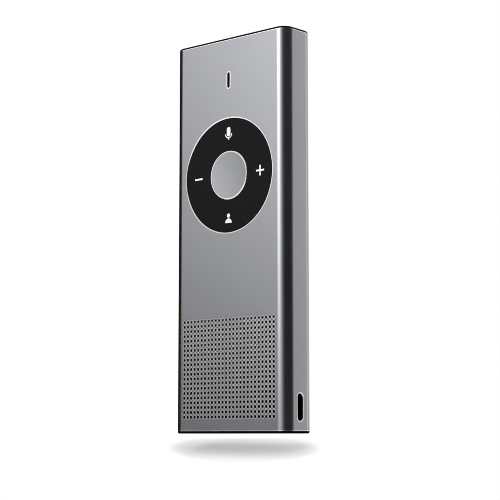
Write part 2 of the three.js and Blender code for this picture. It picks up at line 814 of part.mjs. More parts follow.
// Flat cable from the port board up to the main board, bent once where the boards' faces differ
function cableGeometry() {
  const bottom = plugTop + seatGap + portBoardLength - cableLanding;
  const top = boardBottom + cableLanding;
  const bend = boardBottom - cableBend;
  const strip = new THREE.Shape([
    new THREE.Vector2(-portBoardFront, bottom),
    new THREE.Vector2(-portBoardFront, bend),
    new THREE.Vector2(-boardDepth, boardBottom - cableThickness),
    new THREE.Vector2(-boardDepth, top),
    new THREE.Vector2(cableThickness - boardDepth, top),
    new THREE.Vector2(cableThickness - boardDepth, boardBottom - cableThickness),
    new THREE.Vector2(cableThickness - portBoardFront, bend),
    new THREE.Vector2(cableThickness - portBoardFront, bottom),
  ]);
  return prism(strip, -cableWidth / 2, cableWidth / 2).rotateY(-fullTurn / 4);
}
const cableX = portBoardLeft + cableWidth / 2 + smallGap;
add(front, 'port_cable', cableGeometry(), finish(0xb9772a, 0.5, 0), cableX);

// Speaker, from the face inward: dust mesh, gasket, basket, surround, cone, coil and magnet
const meshWidth = Math.min(windowWidth + 2 * meshMargin, 2 * flatHalfWidth);
const mesh = slab(rectangle(meshWidth, windowHeight + 2 * meshMargin), wall, wall + meshThickness);
add(front, 'dust_mesh', mesh, finish(0x0d0d0e, 0.9, 0), 0, grilleMiddle);

const chamberSpan = Math.min(chamberRight - chamberLeft, chamberTop - chamberBottom);
const basketRadius = chamberSpan / 2 - chamberSheet - basketGap;
const gasketFront = wall + meshThickness;
const basketFront = gasketFront + gasketThickness;
const gasketRadius = basketRadius - smallGap;
const gasketShape = annulus(gasketRadius, gasketRadius - gasketWidth);
const gasket = slab(gasketShape, gasketFront, basketFront, discSteps);
add(speaker, 'speaker_gasket', gasket, finish(0x26262a, 0.95, 0));

const flangeBack = basketFront + basketFlange;
const shoulderRadius = basketRadius - basketShoulder;
const basketInner = shoulderRadius - basketSheet;
const basketBack = flangeBack + basketHeight;
const lipRadius = basketInner - basketLip;
const rollOuter = basketInner - smallGap - surroundRim;
const coneRadius = rollOuter - surroundWidth - smallGap;
const coilOuter = coneRadius - coneFlare;
const coilInner = coilOuter - coilThickness;
const yokeRadius = coilOuter + coilPlay + yokeSheet;
const topPlateRadius = coilInner - coilPlay;
const magnetRadius = topPlateRadius - magnetInset;
const basket = turned([
  [lipRadius, basketFront],
  [basketRadius, basketFront],
  [basketRadius, flangeBack],
  [shoulderRadius, flangeBack],
  [shoulderRadius, basketBack],
  [yokeRadius + yokeFit, basketBack],
  [yokeRadius + yokeFit, basketBack - basketSheet],
  [basketInner, basketBack - basketSheet],
  [basketInner, flangeBack],
  [lipRadius, flangeBack],
], roundSteps);
add(speaker, 'speaker_basket', basket, finish(0x2d2e31, 0.5, 0.4));

const yokeFloor = basketBack;
const yokeBack = yokeFloor + yokeSheet;
const yoke = turned([
  [0, yokeFloor],
  [yokeRadius - yokeSheet, yokeFloor],
  [yokeRadius - yokeSheet, yokeBack - yokeHeight],
  [yokeRadius, yokeBack - yokeHeight],
  [yokeRadius, yokeBack],
  [0, yokeBack],
], roundSteps);
add(speaker, 'speaker_yoke', yoke, finish(0x8d8f92, 0.4, 1));
const magnetFront = yokeFloor - magnetHeight;
const magnet = slab(disc(magnetRadius), magnetFront, yokeFloor, discSteps);
add(speaker, 'speaker_magnet', magnet, finish(0x5d5f63, 0.35, 1));
const topPlate = slab(disc(topPlateRadius), magnetFront - topPlateThickness, magnetFront, discSteps);
add(speaker, 'speaker_top_plate', topPlate, finish(0x8d8f92, 0.4, 1));

const surroundFront = flangeBack + smallGap;
const rollMiddle = rollOuter - surroundWidth / 2;
const rollHalf = surroundWidth / 2;

function rollArc(lift) {
  return Array.from({ length: rollArcSteps + 1 }, (_, step) => {
    const angle = (Math.PI * step) / rollArcSteps;
    return [rollMiddle - rollHalf * Math.cos(angle), surroundFront + lift - surroundRoll * Math.sin(angle)];
  });
}
const surround = turned([
  ...rollArc(0),
  [basketInner - smallGap, surroundFront],
  [basketInner - smallGap, surroundFront + surroundSheet],
  ...rollArc(surroundSheet).reverse(),
], roundSteps);
add(speaker, 'speaker_surround', surround, finish(0x1b1b1d, 0.9, 0));

const coilFront = surroundFront + coneSheet + smallGap;
const cone = turned([
  [0, surroundFront - coneDome],
  [coilInner / 2, surroundFront - coneDomeShare * coneDome],
  [coilInner, surroundFront],
  [coneRadius, surroundFront],
  [coneRadius, surroundFront + coneSheet],
  [coilInner, surroundFront + coneSheet],
  [coilInner / 2, surroundFront + coneSheet - coneDomeShare * coneDome],
  [0, surroundFront + coneSheet - coneDome],
], roundSteps);
add(speaker, 'speaker_cone', cone, finish(0x3a3b3e, 0.7, 0));
const coil = slab(annulus(coilOuter, coilInner), coilFront, coilFront + coilHeight, discSteps);
add(speaker, 'voice_coil', coil, finish(0xb8692c, 0.4, 1));

// Speaker chamber: a closed box behind the basket, whose only opening is the basket's seat
const chamberFront = flangeBack;
const chamberBack = rearWallDepth - swellingGap;
const chamberOuter = box(chamberLeft, chamberRight, chamberBottom, chamberTop, chamberFront, chamberBack);
const chamberInner = box(
  chamberLeft + chamberSheet,
  chamberRight - chamberSheet,
  chamberBottom + chamberSheet,
  chamberTop - chamberSheet,
  chamberFront + chamberSheet,
  chamberBack - chamberSheet,
);
const seatBack = chamberFront + chamberSheet + overrun;
const seat = slab(disc(shoulderRadius + seatGap / 2), chamberFront - overrun, seatBack, discSteps);
seat.translate(speakerX, speakerHeight, 0);
add(front, 'speaker_chamber', cut(chamberOuter, chamberInner, seat), finish(0x232427, 0.6, 0));

export default device;
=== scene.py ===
# %% [markdown]
# # A handheld voice translator
# A slim tube of anodised aluminium holds a circuit board, a battery and a speaker. A black ring
# key with a round metal button in its middle lies in the front face, with a narrow status window
# above it and a field of small speaker holes below it. The charging port is in the right side.
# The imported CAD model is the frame: every piece made here goes where the CAD says.

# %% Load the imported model
import json
import math

import bmesh
import bpy
from mathutils import Matrix, Vector


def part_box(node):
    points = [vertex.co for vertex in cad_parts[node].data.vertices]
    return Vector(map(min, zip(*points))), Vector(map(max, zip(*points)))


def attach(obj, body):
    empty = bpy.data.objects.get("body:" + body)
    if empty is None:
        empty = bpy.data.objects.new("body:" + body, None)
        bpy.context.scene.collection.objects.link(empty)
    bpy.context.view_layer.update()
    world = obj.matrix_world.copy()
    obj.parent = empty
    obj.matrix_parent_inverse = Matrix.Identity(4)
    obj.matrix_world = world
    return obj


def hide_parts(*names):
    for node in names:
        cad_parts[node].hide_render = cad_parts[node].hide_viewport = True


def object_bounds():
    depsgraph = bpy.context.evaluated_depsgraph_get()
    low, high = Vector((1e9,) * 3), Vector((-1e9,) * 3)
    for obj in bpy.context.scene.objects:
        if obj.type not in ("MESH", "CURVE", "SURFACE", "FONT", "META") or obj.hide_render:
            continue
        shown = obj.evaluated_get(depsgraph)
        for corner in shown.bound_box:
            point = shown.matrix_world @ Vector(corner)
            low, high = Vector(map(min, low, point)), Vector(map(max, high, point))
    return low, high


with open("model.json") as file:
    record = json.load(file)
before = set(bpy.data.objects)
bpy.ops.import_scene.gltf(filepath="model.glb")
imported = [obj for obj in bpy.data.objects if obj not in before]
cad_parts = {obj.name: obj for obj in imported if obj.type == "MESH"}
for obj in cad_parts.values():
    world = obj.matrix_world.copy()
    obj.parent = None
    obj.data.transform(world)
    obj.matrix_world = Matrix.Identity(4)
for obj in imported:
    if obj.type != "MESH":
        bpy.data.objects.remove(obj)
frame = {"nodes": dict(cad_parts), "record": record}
cad_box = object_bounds()

# %% [markdown]
# Blender works in metres and the device is described in millimetres, so one factor turns every
# size. The boxes of a few CAD nodes give the places that the pieces share, and the other sizes are
# the ones that the CAD was drawn with. The camera's heading stands here too, because the shadow
# card follows it.

# %% Sizes and places
MM = 0.001
CAMERA_YAW = 41.7974


def box_mm(node):
    low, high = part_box(node)
    return [value / MM for value in low], [value / MM for value in high]


sleeve_low, sleeve_high = box_mm("housing_sleeve")
ring_low, ring_high = box_mm("ring_key")
button_low, button_high = box_mm("button_cap")
FACE_Y = sleeve_low[1]
SIDE_X = sleeve_high[0]
BODY_WIDTH = sleeve_high[0] - sleeve_low[0]
BODY_DEPTH = sleeve_high[1] - sleeve_low[1]
BODY_HEIGHT = cad_box[1][2] / MM
CORNER_RADIUS = 3.6
WALL = 1.2
KEY_Z = (ring_low[2] + ring_high[2]) / 2
RING_RADIUS = 18.0
BUTTON_RADIUS = (button_high[0] - button_low[0]) / 2
print("front face at y =", round(FACE_Y, 3), "key centre at z =", round(KEY_Z, 3))

# %% [markdown]
# Most pieces are rows of points joined by quads: an outline lifted to several heights, or a
# profile turned round the key's axis. One function skins such rows, and another cuts pieces out of
# a piece or joins them to it. Edges sharper than an angle stay crisp, and normals weighted by face
# area keep the flat faces flat beside their round edges.


# %% Mesh helpers
def piece_from(name, mesh_maker, closed=True):
    mesh = bpy.data.meshes.new(name)
    maker = bmesh.new()
    mesh_maker(maker)
    if closed:
        bmesh.ops.recalc_face_normals(maker, faces=maker.faces)
    maker.to_mesh(mesh)
    maker.free()
    piece = bpy.data.objects.new(name, mesh)
    bpy.context.collection.objects.link(piece)
    return piece


def skin(maker, rows, joined=False, capped=True):
    """Quads between rows of points, which are in millimetres. Joined rows close into a tube."""
    loops = [[maker.verts.new(Vector(point) * MM) for point in row] for row in rows]
    pairs = list(zip(loops, loops[1:]))
    if joined:
        pairs.append((loops[-1], loops[0]))
    for near, far in pairs:
        for index in range(len(near)):
            after = (index + 1) % len(near)
            maker.faces.new((near[index], near[after], far[after], far[index]))
    if capped and not joined:
        maker.faces.new(loops[0])
        maker.faces.new(loops[-1])


def skinned(name, rows, joined=False):
    return piece_from(name, lambda maker: skin(maker, rows, joined))


def evaluated(piece):
    """Replaces a piece's mesh by what its modifiers make of it, and removes the modifiers."""
    graph = bpy.context.evaluated_depsgraph_get()
    mesh = bpy.data.meshes.new_from_object(piece.evaluated_get(graph))
    piece.modifiers.clear()
    old = piece.data
    piece.data = mesh
    bpy.data.meshes.remove(old)
    mesh.name = piece.name
    return piece


def combine(piece, operation, *others):
    """Cuts the others out of a piece, or joins them to it, and removes them."""
    for other in others:
        solid = piece.modifiers.new("solid", "BOOLEAN")
        solid.operation = operation
        solid.solver = "EXACT"
        solid.object = other
    evaluated(piece)
    for other in others:
        bpy.data.objects.remove(other)


AREA_WEIGHT = 80
CREASE_ANGLE = 40


def crisp(piece, angle=CREASE_ANGLE):
    for face in piece.data.polygons:
        face.use_smooth = True
    piece.data.set_sharp_from_angle(angle=math.radians(angle))
    weights = piece.modifiers.new("weights", "WEIGHTED_NORMAL")
    weights.keep_sharp = True
    weights.weight = AREA_WEIGHT
    evaluated(piece)
    print(piece.name, "faces:", len(piece.data.polygons))


def turned(name, profile, steps, joined=False):
    """A body turned round the key's axis from (radius, depth behind the face) corners."""
    turns = [2 * math.pi * step / steps for step in range(steps)]
    rays = [(math.cos(turn), math.sin(turn)) for turn in turns]
    return skinned(name, [
        [(radius * across, FACE_Y + depth, KEY_Z + radius * up) for across, up in rays]
        for radius, depth in profile
    ], joined)


def rounded_outline(width, depth, radius, steps):
    points = []
    for side_x, side_y, start in ((1, 1, 0), (-1, 1, 90), (-1, -1, 180), (1, -1, 270)):
        for step in range(steps + 1):
            turn = math.radians(start + 90 * step / steps)
            x = side_x * (width / 2 - radius) + radius * math.cos(turn)
            y = side_y * (depth / 2 - radius) + radius * math.sin(turn)
            points.append((x, y))
    return points


def arc(centre, radius, start, end, steps):
    """Points of an arc in a profile's plane, from one angle to another in degrees."""
    points = []
    for step in range(steps + 1):
        turn = math.radians(start + (end - start) * step / steps)
        points.append((centre[0] + radius * math.cos(turn), centre[1] + radius * math.sin(turn)))
    return points


def disc(radius, steps=24):
    """A circle's outline, without its first point again at the end."""
    return arc((0, 0), radius, 0, 360 - 360 / steps, steps - 1)


# %% [markdown]
# Materials are node trees written as arithmetic. A Wire holds one socket, and an expression on
# wires adds the Math nodes. A Finish is one material: it owns the tree and the shader, sets the
# constant sockets directly, and takes any other node through one method.


# %% Shader helpers
class Wire:
    """A number in a shader tree."""

    def __init__(self, finish, socket):
        self.finish = finish
        self.socket = socket

    def math(self, operation, *others):
        values = dict(enumerate((self, *others)))
        node = self.finish.node("ShaderNodeMath", {"operation": operation}, values)
        return Wire(self.finish, node.outputs[0])

    def swing(self, size):
        """Noise from 0 to 1 turned into ups and downs round 0, this large in all."""
        return (self - 0.5) * size

    def __add__(self, other):
        return self.math("ADD", other)

    __radd__ = __add__

    def __sub__(self, other):
        return self.math("SUBTRACT", other)

    def __rsub__(self, other):
        return self.math("MULTIPLY_ADD", -1.0, other)

    def __mul__(self, other):
        return self.math("MULTIPLY", other)

    def __truediv__(self, other):
        return self.math("DIVIDE", other)

    def __pow__(self, other):
        return self.math("POWER", other)


class Finish:
    """One material, made of a shader and the nodes that vary it over the surface."""

    def __init__(self, name, shader="ShaderNodeBsdfPrincipled", **constants):
        self.material = bpy.data.materials.new(name)
        self.material.use_nodes = True
        self.tree = self.material.node_tree
        self.tree.nodes.clear()
        self.shader = self.node(shader)
        output = self.node("ShaderNodeOutputMaterial")
        self.tree.links.new(self.shader.outputs[0], output.inputs["Surface"])
        for socket, value in constants.items():
            self.shader.inputs[socket.replace("_", " ")].default_value = value
        self.place = self.node("ShaderNodeTexCoord").outputs["Object"]

    def node(self, kind, settings=None, values=None):
        node = self.tree.nodes.new(kind)
        for name, value in (settings or {}).items():
            setattr(node, name, value)
        sockets = {socket.identifier: socket for socket in node.inputs}
        for name, value in (values or {}).items():
            self.plug(sockets[name] if name in sockets else node.inputs[name], value)
        return node

    def plug(self, socket, value):
        if isinstance(value, Wire):
            value = value.socket
        if isinstance(value, bpy.types.NodeSocket):
            self.tree.links.new(value, socket)
        else:
            socket.default_value = value

    def vary(self, socket, value):
        self.plug(self.shader.inputs[socket], value)

    def noise(self, size, detail=2.0, stretch=(1, 1, 1)):
        """Noise from 0 to 1 whose blotches are about size millimetres across."""
        scaled = self.node("ShaderNodeMapping", None, {"Vector": self.place, "Scale": stretch})
        values = {"Vector": scaled.outputs[0], "Scale": 1 / (size * MM), "Detail": detail}
        return Wire(self, self.node("ShaderNodeTexNoise", None, values).outputs[0])

    def mix(self, factor, first, second):
        """A colour between two colours, each a tuple or the socket of another mix."""
        ends = [(*end, 1.0) if isinstance(end, tuple) else end for end in (first, second)]
        values = {"Factor_Float": factor, "A_Color": ends[0], "B_Color": ends[1]}
        return self.node("ShaderNodeMix", {"data_type": "RGBA"}, values).outputs[2]

    def bump(self, height, depth, strength):
        """Bends the normal by a height from 0 to 1 that stands for depth millimetres."""
        values = {"Height": height, "Distance": depth * MM, "Strength": strength}
        self.vary("Normal", self.node("ShaderNodeBump", None, values).outputs[0])

    def axes(self):
        split = self.node("ShaderNodeSeparateXYZ", None, {0: self.place})
        return [Wire(self, socket) for socket in split.outputs]

    def edge_mark(self):
        """The face attribute of painted highlights on bare edges and of painted shade on walls."""
        mark = self.node("ShaderNodeAttribute", {"attribute_name": PAINTED_LIGHT_ATTRIBUTE})
        return Wire(self, mark.outputs["Fac"])


def give(piece, finish):
    piece.data.materials.clear()
    piece.data.materials.append(finish.material)


def tinted(colour, share):
    return tuple(share * level for level in colour)


# %% [markdown]
# The sleeve's aluminium is blasted with fine beads and anodised grey. The blasting leaves a grain
# of about a tenth of a millimetre, too small to see one by one, which spreads the reflections.
# Edges that were turned after the anodising are bare, and their lighter colour also stands for
# the highlight they catch: a painted highlight. The walls of the small holes and slots and the
# seams at the caps are painted dark, a painted shade. A face attribute marks both, 1 for a painted
# highlight and -1 for painted shade, with values between them for half-shaded places, so that one
# material serves the whole extrusion. A faint cloudiness keeps the large faces from looking
# moulded.

# %% Anodised aluminium
ALUMINIUM = (0.402, 0.408, 0.43)
# Lighter bare metal that is also a painted highlight, and the painted shade of walls and seams.
BARE_METAL_HIGHLIGHT = (0.93, 0.935, 0.94)
PAINTED_SHADE = (0.012, 0.012, 0.012)
PAINTED_LIGHT_ATTRIBUTE = "edge_mark"
FRONTAL = 0.5
BLAST_GRAIN = 0.11
BLAST_DEPTH = 0.004
BLAST_STRENGTH = 0.35
CLOUD_SIZE = 9.0
CLOUD_STRETCH = (1, 1, 0.45)
CLOUD_TINT = 1.05
WALL_ROUGHNESS = 0.5
TOOL_MARK_PITCH = 0.3


def aluminium_finish(name, roughness, marks_depth=0.0):
    """Blasted aluminium; marks_depth adds the circular tool marks of a turned face."""
    finish = Finish(name, Metallic=1.0)
    grain = finish.noise(BLAST_GRAIN)
    cloud = finish.noise(CLOUD_SIZE, stretch=CLOUD_STRETCH)
    mark = finish.edge_mark()
    # A mark above 0 paints a highlight, a mark below 0 paints shade.
    highlight_share = mark.math("MAXIMUM", 0.0)
    shade_share = (mark * -1.0).math("MAXIMUM", 0.0)
    lifted = tinted(ALUMINIUM, CLOUD_TINT)
    blasted = finish.mix(grain.swing(0.5) + cloud, ALUMINIUM, lifted)
    highlighted_colour = finish.mix(highlight_share, blasted, BARE_METAL_HIGHLIGHT)
    finish.vary("Base Color", finish.mix(shade_share, highlighted_colour, PAINTED_SHADE))
    satin = roughness + grain.swing(0.05) + cloud.swing(0.03)
    finish.vary("Roughness", satin + shade_share * WALL_ROUGHNESS)
    height = grain
    if marks_depth:
        across, _, up = finish.axes()
        radius = (across * across + (up - KEY_Z * MM) ** 2.0).math("SQRT")
        wave = 2 * math.pi / (TOOL_MARK_PITCH * MM)
        height = grain + (radius * wave).math("SINE") * marks_depth
    finish.bump(height, BLAST_DEPTH, BLAST_STRENGTH)
    return finish


sleeve_aluminium = aluminium_finish("anodised_aluminium_sleeve", roughness=0.22)
print("material:", sleeve_aluminium.material.name)


def mark_faces(piece, mark_of):
    """Writes the painted light mark of every face from its centre, in millimetres, and its normal.
    """
    marks = piece.data.attributes.new(PAINTED_LIGHT_ATTRIBUTE, "FLOAT", "FACE")
    for face in piece.data.polygons:
        marks.data[face.index].value = mark_of(face.center / MM, face.normal)


# %% [markdown]
# The sleeve is an extruded tube: a rounded rectangle with 3.6 mm corners and a 1.2 mm wall. Each
# end has a bare band in a lighter colour, a painted highlight, and next to the cap a seam painted
# dark as shade. The openings are cut through it as a mill would cut them, each with its small
# chamfer and a bare land round it in the painted highlight's colour: the round key opening, the
# status slit and the port, where a thin lip covers the edge of the port's shell. The walls of slit
# and port are painted dark as shade. The place of the speaker holes is left open for the
# perforated field, which the next step makes.

# %% Sleeve
LOW_SEAM = 0.16
HIGH_SEAM = 0.28
END_BAND = 0.16
CORNER_STEPS = 18
KEY_GAP = 0.15
OPENING_STEPS = 128
RIM_CHAMFER = 0.12
LAND = 0.26
LAND_DEPTH = 0.015
SLIT_BELOW_TOP = 13.8
SLIT_Z = BODY_HEIGHT - SLIT_BELOW_TOP
SLIT_WIDTH = 0.85
SLIT_LENGTH = 4.8
SLIT_CHAMFER = 0.13
SLIT_LAND = 0.33
PORT_GAP = 0.06
PORT_COVER = 0.33
PORT_CHAMFER = 0.1
PORT_LAND = 0.3
PORT_LIP = 0.2
HOLE_COLUMNS = 26
HOLE_ROWS = 21
HOLE_PITCH = 1.5
LOWEST_HOLES_Z = 5.1
GRILLE_Z = LOWEST_HOLES_Z + HOLE_PITCH * (HOLE_ROWS - 1) / 2
FIELD_WIDTH = HOLE_PITCH * HOLE_COLUMNS
FIELD_HEIGHT = HOLE_PITCH * HOLE_ROWS
OVERRUN = 2.0
shell_low, shell_high = box_mm("port_shell")
PORT_Z = (shell_low[2] + shell_high[2]) / 2
PORT_WIDTH = shell_high[1] - shell_low[1]
PORT_HEIGHT = shell_high[2] - shell_low[2]
low_z, high_z = sleeve_low[2], sleeve_high[2]


def level_outline(z, inset):
    width, depth = BODY_WIDTH - 2 * inset, BODY_DEPTH - 2 * inset
    outline = rounded_outline(width, depth, CORNER_RADIUS - inset, CORNER_STEPS)
    return [(x, y, z) for x, y in outline]


def stadium(width, length, steps=12):
    """A slot's outline with round ends, standing upright."""
    radius = width / 2
    reach = length / 2 - radius
    upper = [(x, y + reach) for x, y in arc((0, 0), radius, 0, 180, steps)]
    lower = [(x, y - reach) for x, y in arc((0, 0), radius, 180, 360, steps)]
    return upper + lower


def slot_cutter(name, width, length, chamfer, land, place):
    """A slot-shaped knife with a chamfer and a land; place turns (across, up, out) to a point."""
    land += chamfer
    levels = (
        (-WALL - OVERRUN, 0), (-chamfer - LAND_DEPTH, 0), (-LAND_DEPTH, chamfer),
        (-LAND_DEPTH, land), (OVERRUN, land),
    )
    return skinned(name, [
        [place(across, up, out) for across, up in stadium(width + 2 * grow, length + 2 * grow)]
        for out, grow in levels
    ])


def block(name, low, high):
    corners = [(low[0], low[1]), (high[0], low[1]), (high[0], high[1]), (low[0], high[1])]
    return skinned(name, [[(x, y, z) for x, y in corners] for z in (low[2], high[2])])


sleeve = skinned("sleeve", [
    level_outline(low_z, LAND_DEPTH),
    level_outline(low_z + LOW_SEAM, LAND_DEPTH),
    level_outline(low_z + LOW_SEAM + END_BAND, LAND_DEPTH),
    level_outline(low_z + LOW_SEAM + END_BAND + LAND_DEPTH, 0),
    level_outline(high_z - HIGH_SEAM - END_BAND - LAND_DEPTH, 0),
    level_outline(high_z - HIGH_SEAM - END_BAND, LAND_DEPTH),
    level_outline(high_z - HIGH_SEAM, LAND_DEPTH),
    level_outline(high_z, LAND_DEPTH),
    level_outline(high_z, WALL),
    level_outline(low_z, WALL),
], joined=True)
opening = RING_RADIUS + KEY_GAP
land_radius = opening + RIM_CHAMFER + LAND
key_knife = turned("key_knife", [
    (opening, WALL + OVERRUN), (opening, RIM_CHAMFER + LAND_DEPTH),
    (opening + RIM_CHAMFER, LAND_DEPTH), (land_radius, LAND_DEPTH), (land_radius, -OVERRUN),
], OPENING_STEPS)
slit_knife = slot_cutter(
    "slit_knife", SLIT_WIDTH, SLIT_LENGTH, SLIT_CHAMFER, SLIT_LAND,
    lambda across, up, out: (across, FACE_Y - out, SLIT_Z + up),
)
port_knife = slot_cutter(
    "port_knife", PORT_WIDTH - 2 * PORT_COVER, PORT_HEIGHT - 2 * PORT_COVER,
    PORT_CHAMFER, PORT_LAND,
    lambda across, up, out: (SIDE_X + out, across, PORT_Z + up),
)
shell_outline = stadium(PORT_WIDTH + 2 * PORT_GAP, PORT_HEIGHT + 2 * PORT_GAP)
shell_knife = skinned("shell_knife", [
    [(SIDE_X - depth, across, PORT_Z + up) for across, up in shell_outline]
    for depth in (PORT_LIP, WALL + OVERRUN)
])
field_knife = block(
    "field_knife",
    (-FIELD_WIDTH / 2, FACE_Y - OVERRUN, GRILLE_Z - FIELD_HEIGHT / 2),
    (FIELD_WIDTH / 2, FACE_Y + WALL + OVERRUN, GRILLE_Z + FIELD_HEIGHT / 2),
)
combine(sleeve, "DIFFERENCE", key_knife, slit_knife, port_knife, shell_knife, field_knife)
crisp(sleeve)


def sleeve_painted_light(centre, normal):
    """Painted highlight (1) on bare lands and end bands, painted shade (-1) on seams and slit and
    port walls.
    """
    from_face = centre.y - FACE_Y
    from_side = SIDE_X - centre.x
    from_seam = min(centre.z - low_z - LOW_SEAM, high_z - HIGH_SEAM - centre.z)
    near_key = math.hypot(centre.x, centre.z - KEY_Z) < land_radius and normal.y < -FRONTAL
    near_slit = abs(centre.x) < SLIT_WIDTH and abs(centre.z - SLIT_Z) < SLIT_LENGTH
    near_port = abs(centre.y) < PORT_WIDTH and abs(centre.z - PORT_Z) < PORT_HEIGHT
    past_land = from_face > LAND_DEPTH * 1.5 or abs(normal.y) < FRONTAL
    slit_wall = near_slit and past_land and from_face < WALL
    port_wall = near_port and PORT_LIP < from_side < WALL
    # Painted shade on the seams and walls, painted highlight on the lands and end bands.
    if slit_wall or port_wall or from_seam < 0:
        return -1.0
    front_land = (near_key or near_slit) and from_face > LAND_DEPTH / 2
    port_land = near_port and LAND_DEPTH / 2 < from_side < PORT_LIP
    return 1.0 if from_seam < END_BAND or front_land or port_land else 0.0


mark_faces(sleeve, sleeve_painted_light)
give(sleeve, sleeve_aluminium)
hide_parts("housing_sleeve")
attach(sleeve, "housing")

# %% [markdown]
# The speaker field has 26 by 21 round holes at a pitch of 1.5 mm. Cutting 546 holes out of one
# face would leave long thin triangles, so Geometry Nodes lay out one small square cell, already
# with its hole, chamfer and wall, on a grid. The cells meet edge to edge and are welded together,
# and a bridge closes the plate's outer rim. A lighter metal colour round each hole is a painted
# highlight, and the darker colour in the middle of each four and on the hole walls is painted
# shade; together they paint the sparkle of small neat holes.

# %% Perforated field
HOLE_RADIUS = 0.425
HOLE_CHAMFER = 0.09
HOLE_STEPS = 12
HOLE_LAND = 0.18
# Half painted shade in the middle of each four holes.
BETWEEN_HOLES_SHADE = -0.5
FLAT = 0.9
WELD = 0.001


def cell_maker(maker):
    """A square plate around one hole. Its outer corners meet those of its neighbours."""
    turns = [math.radians(180 * (2 * step + 1) / HOLE_STEPS) for step in range(HOLE_STEPS)]
    half = HOLE_PITCH / 2
    reaches = [half / max(abs(math.cos(turn)), abs(math.sin(turn))) for turn in turns]

    def row(radii, depth):
        return [
            (radius * math.cos(turn), depth, radius * math.sin(turn))
            for radius, turn in zip(radii, turns)
        ]

    mouth = HOLE_RADIUS + HOLE_CHAMFER
    skin(maker, [
        row(reaches, 0),
        row([mouth + HOLE_LAND] * HOLE_STEPS, 0),
        row([mouth] * HOLE_STEPS, 0),
        row([HOLE_RADIUS] * HOLE_STEPS, HOLE_CHAMFER),
        row([HOLE_RADIUS] * HOLE_STEPS, WALL),
        row(reaches, WALL),
    ], capped=False)


def new_tree(name, inputs):
    tree = bpy.data.node_groups.new(name, "GeometryNodeTree")
    tree.interface.new_socket("Geometry", in_out="OUTPUT", socket_type="NodeSocketGeometry")
    for label, kind in inputs.items():
        tree.interface.new_socket(label, in_out="INPUT", socket_type=f"NodeSocket{kind}")
    return tree, tree.nodes.new("NodeGroupInput").outputs


def tree_node(tree, kind, values, settings=None):
    node = tree.nodes.new(kind)
    for name, value in (settings or {}).items():
        setattr(node, name, value)
    for name, value in values.items():
        if isinstance(value, bpy.types.NodeSocket):
            tree.links.new(value, node.inputs[name])
        else:
            node.inputs[name].default_value = value
    return node


def tree_number(tree, operation, first, second):
    values = {0: first, 1: second}
    return tree_node(tree, "ShaderNodeMath", values, {"operation": operation}).outputs[0]


def finish_tree(tree, geometry, material, weld):
    """Ends a tree: real meshes instead of instances, welded, with their material."""
    real = tree_node(tree, "GeometryNodeRealizeInstances", {"Geometry": geometry})
    welded = tree_node(tree, "GeometryNodeMergeByDistance", {0: real.outputs[0], "Distance": weld})
    values = {0: welded.outputs[0], "Material": material}
    painted = tree_node(tree, "GeometryNodeSetMaterial", values)
    output = tree.nodes.new("NodeGroupOutput")
    tree.links.new(painted.outputs[0], output.inputs[0])


def grid_tree():
    """Copies of a cell on an upright grid, in metres."""
    tree, given = new_tree("grid_of_cells", {
        "Columns": "Int", "Rows": "Int", "Pitch": "Float", "Weld": "Float",
        "Cell": "Object", "Finish": "Material",
    })
    gaps = [tree_number(tree, "SUBTRACT", given[name], 1) for name in ("Columns", "Rows")]
    spans = [tree_number(tree, "MULTIPLY", gap, given["Pitch"]) for gap in gaps]
    grid = tree_node(tree, "GeometryNodeMeshGrid", {
        "Size X": spans[0], "Size Y": spans[1],
        "Vertices X": given["Columns"], "Vertices Y": given["Rows"],
    })
    upright = tree_node(tree, "GeometryNodeTransform", {
        "Geometry": grid.outputs[0], "Rotation": (math.pi / 2, 0, 0),
    })
    cell = tree_node(tree, "GeometryNodeObjectInfo", {"Object": given["Cell"]})
    copies = tree_node(tree, "GeometryNodeInstanceOnPoints", {
        "Points": upright.outputs[0], "Instance": cell.outputs["Geometry"],
    })
    finish_tree(tree, copies.outputs[0], given["Finish"], given["Weld"])
    return tree


def grown(name, tree, values):
    """A new piece that a tree makes from these named inputs."""
    piece = bpy.data.objects.new(name, bpy.data.meshes.new(name))
    bpy.context.collection.objects.link(piece)
    modifier = piece.modifiers.new(tree.name, "NODES")
    modifier.node_group = tree
    inputs = [item for item in tree.interface.items_tree if item.in_out == "INPUT"]
    sockets = {item.name: item.identifier for item in inputs}
    for label, value in values.items():
        modifier[sockets[label]] = value
    return evaluated(piece)


def moved(piece, x, y, z):
    piece.data.transform(Matrix.Translation(Vector((x, y, z)) * MM))


hole_cell = piece_from("hole_cell", cell_maker, closed=False)
grille = grown("speaker_field", grid_tree(), {
    "Columns": HOLE_COLUMNS, "Rows": HOLE_ROWS, "Pitch": HOLE_PITCH * MM, "Weld": WELD * MM,
    "Cell": hole_cell, "Finish": sleeve_aluminium.material,
})
bpy.data.objects.remove(hole_cell)


def close_rim(piece):
    """Joins the open rims of the front and the back by the walls between them."""
    maker = bmesh.new()
    maker.from_mesh(piece.data)
    bmesh.ops.bridge_loops(maker, edges=[edge for edge in maker.edges if edge.is_boundary])
    bmesh.ops.recalc_face_normals(maker, faces=maker.faces)
    print("open edges:", sum(edge.is_boundary for edge in maker.edges))
    maker.to_mesh(piece.data)
    maker.free()


close_rim(grille)
moved(grille, 0, FACE_Y, GRILLE_Z)
crisp(grille)


def hole_painted_light(centre, normal):
    """Painted highlight (1) round each hole, painted shade (-1) on its walls and back, half between
    four.
    """
    if normal.y > -FLAT:
        return -1.0
    columns = centre.x / HOLE_PITCH + (HOLE_COLUMNS - 1) / 2
    rows = (centre.z - GRILLE_Z) / HOLE_PITCH + (HOLE_ROWS - 1) / 2
    reach = HOLE_PITCH * math.hypot(columns - round(columns), rows - round(rows))
    return 1.0 if reach < HOLE_PITCH / 2 else BETWEEN_HOLES_SHADE


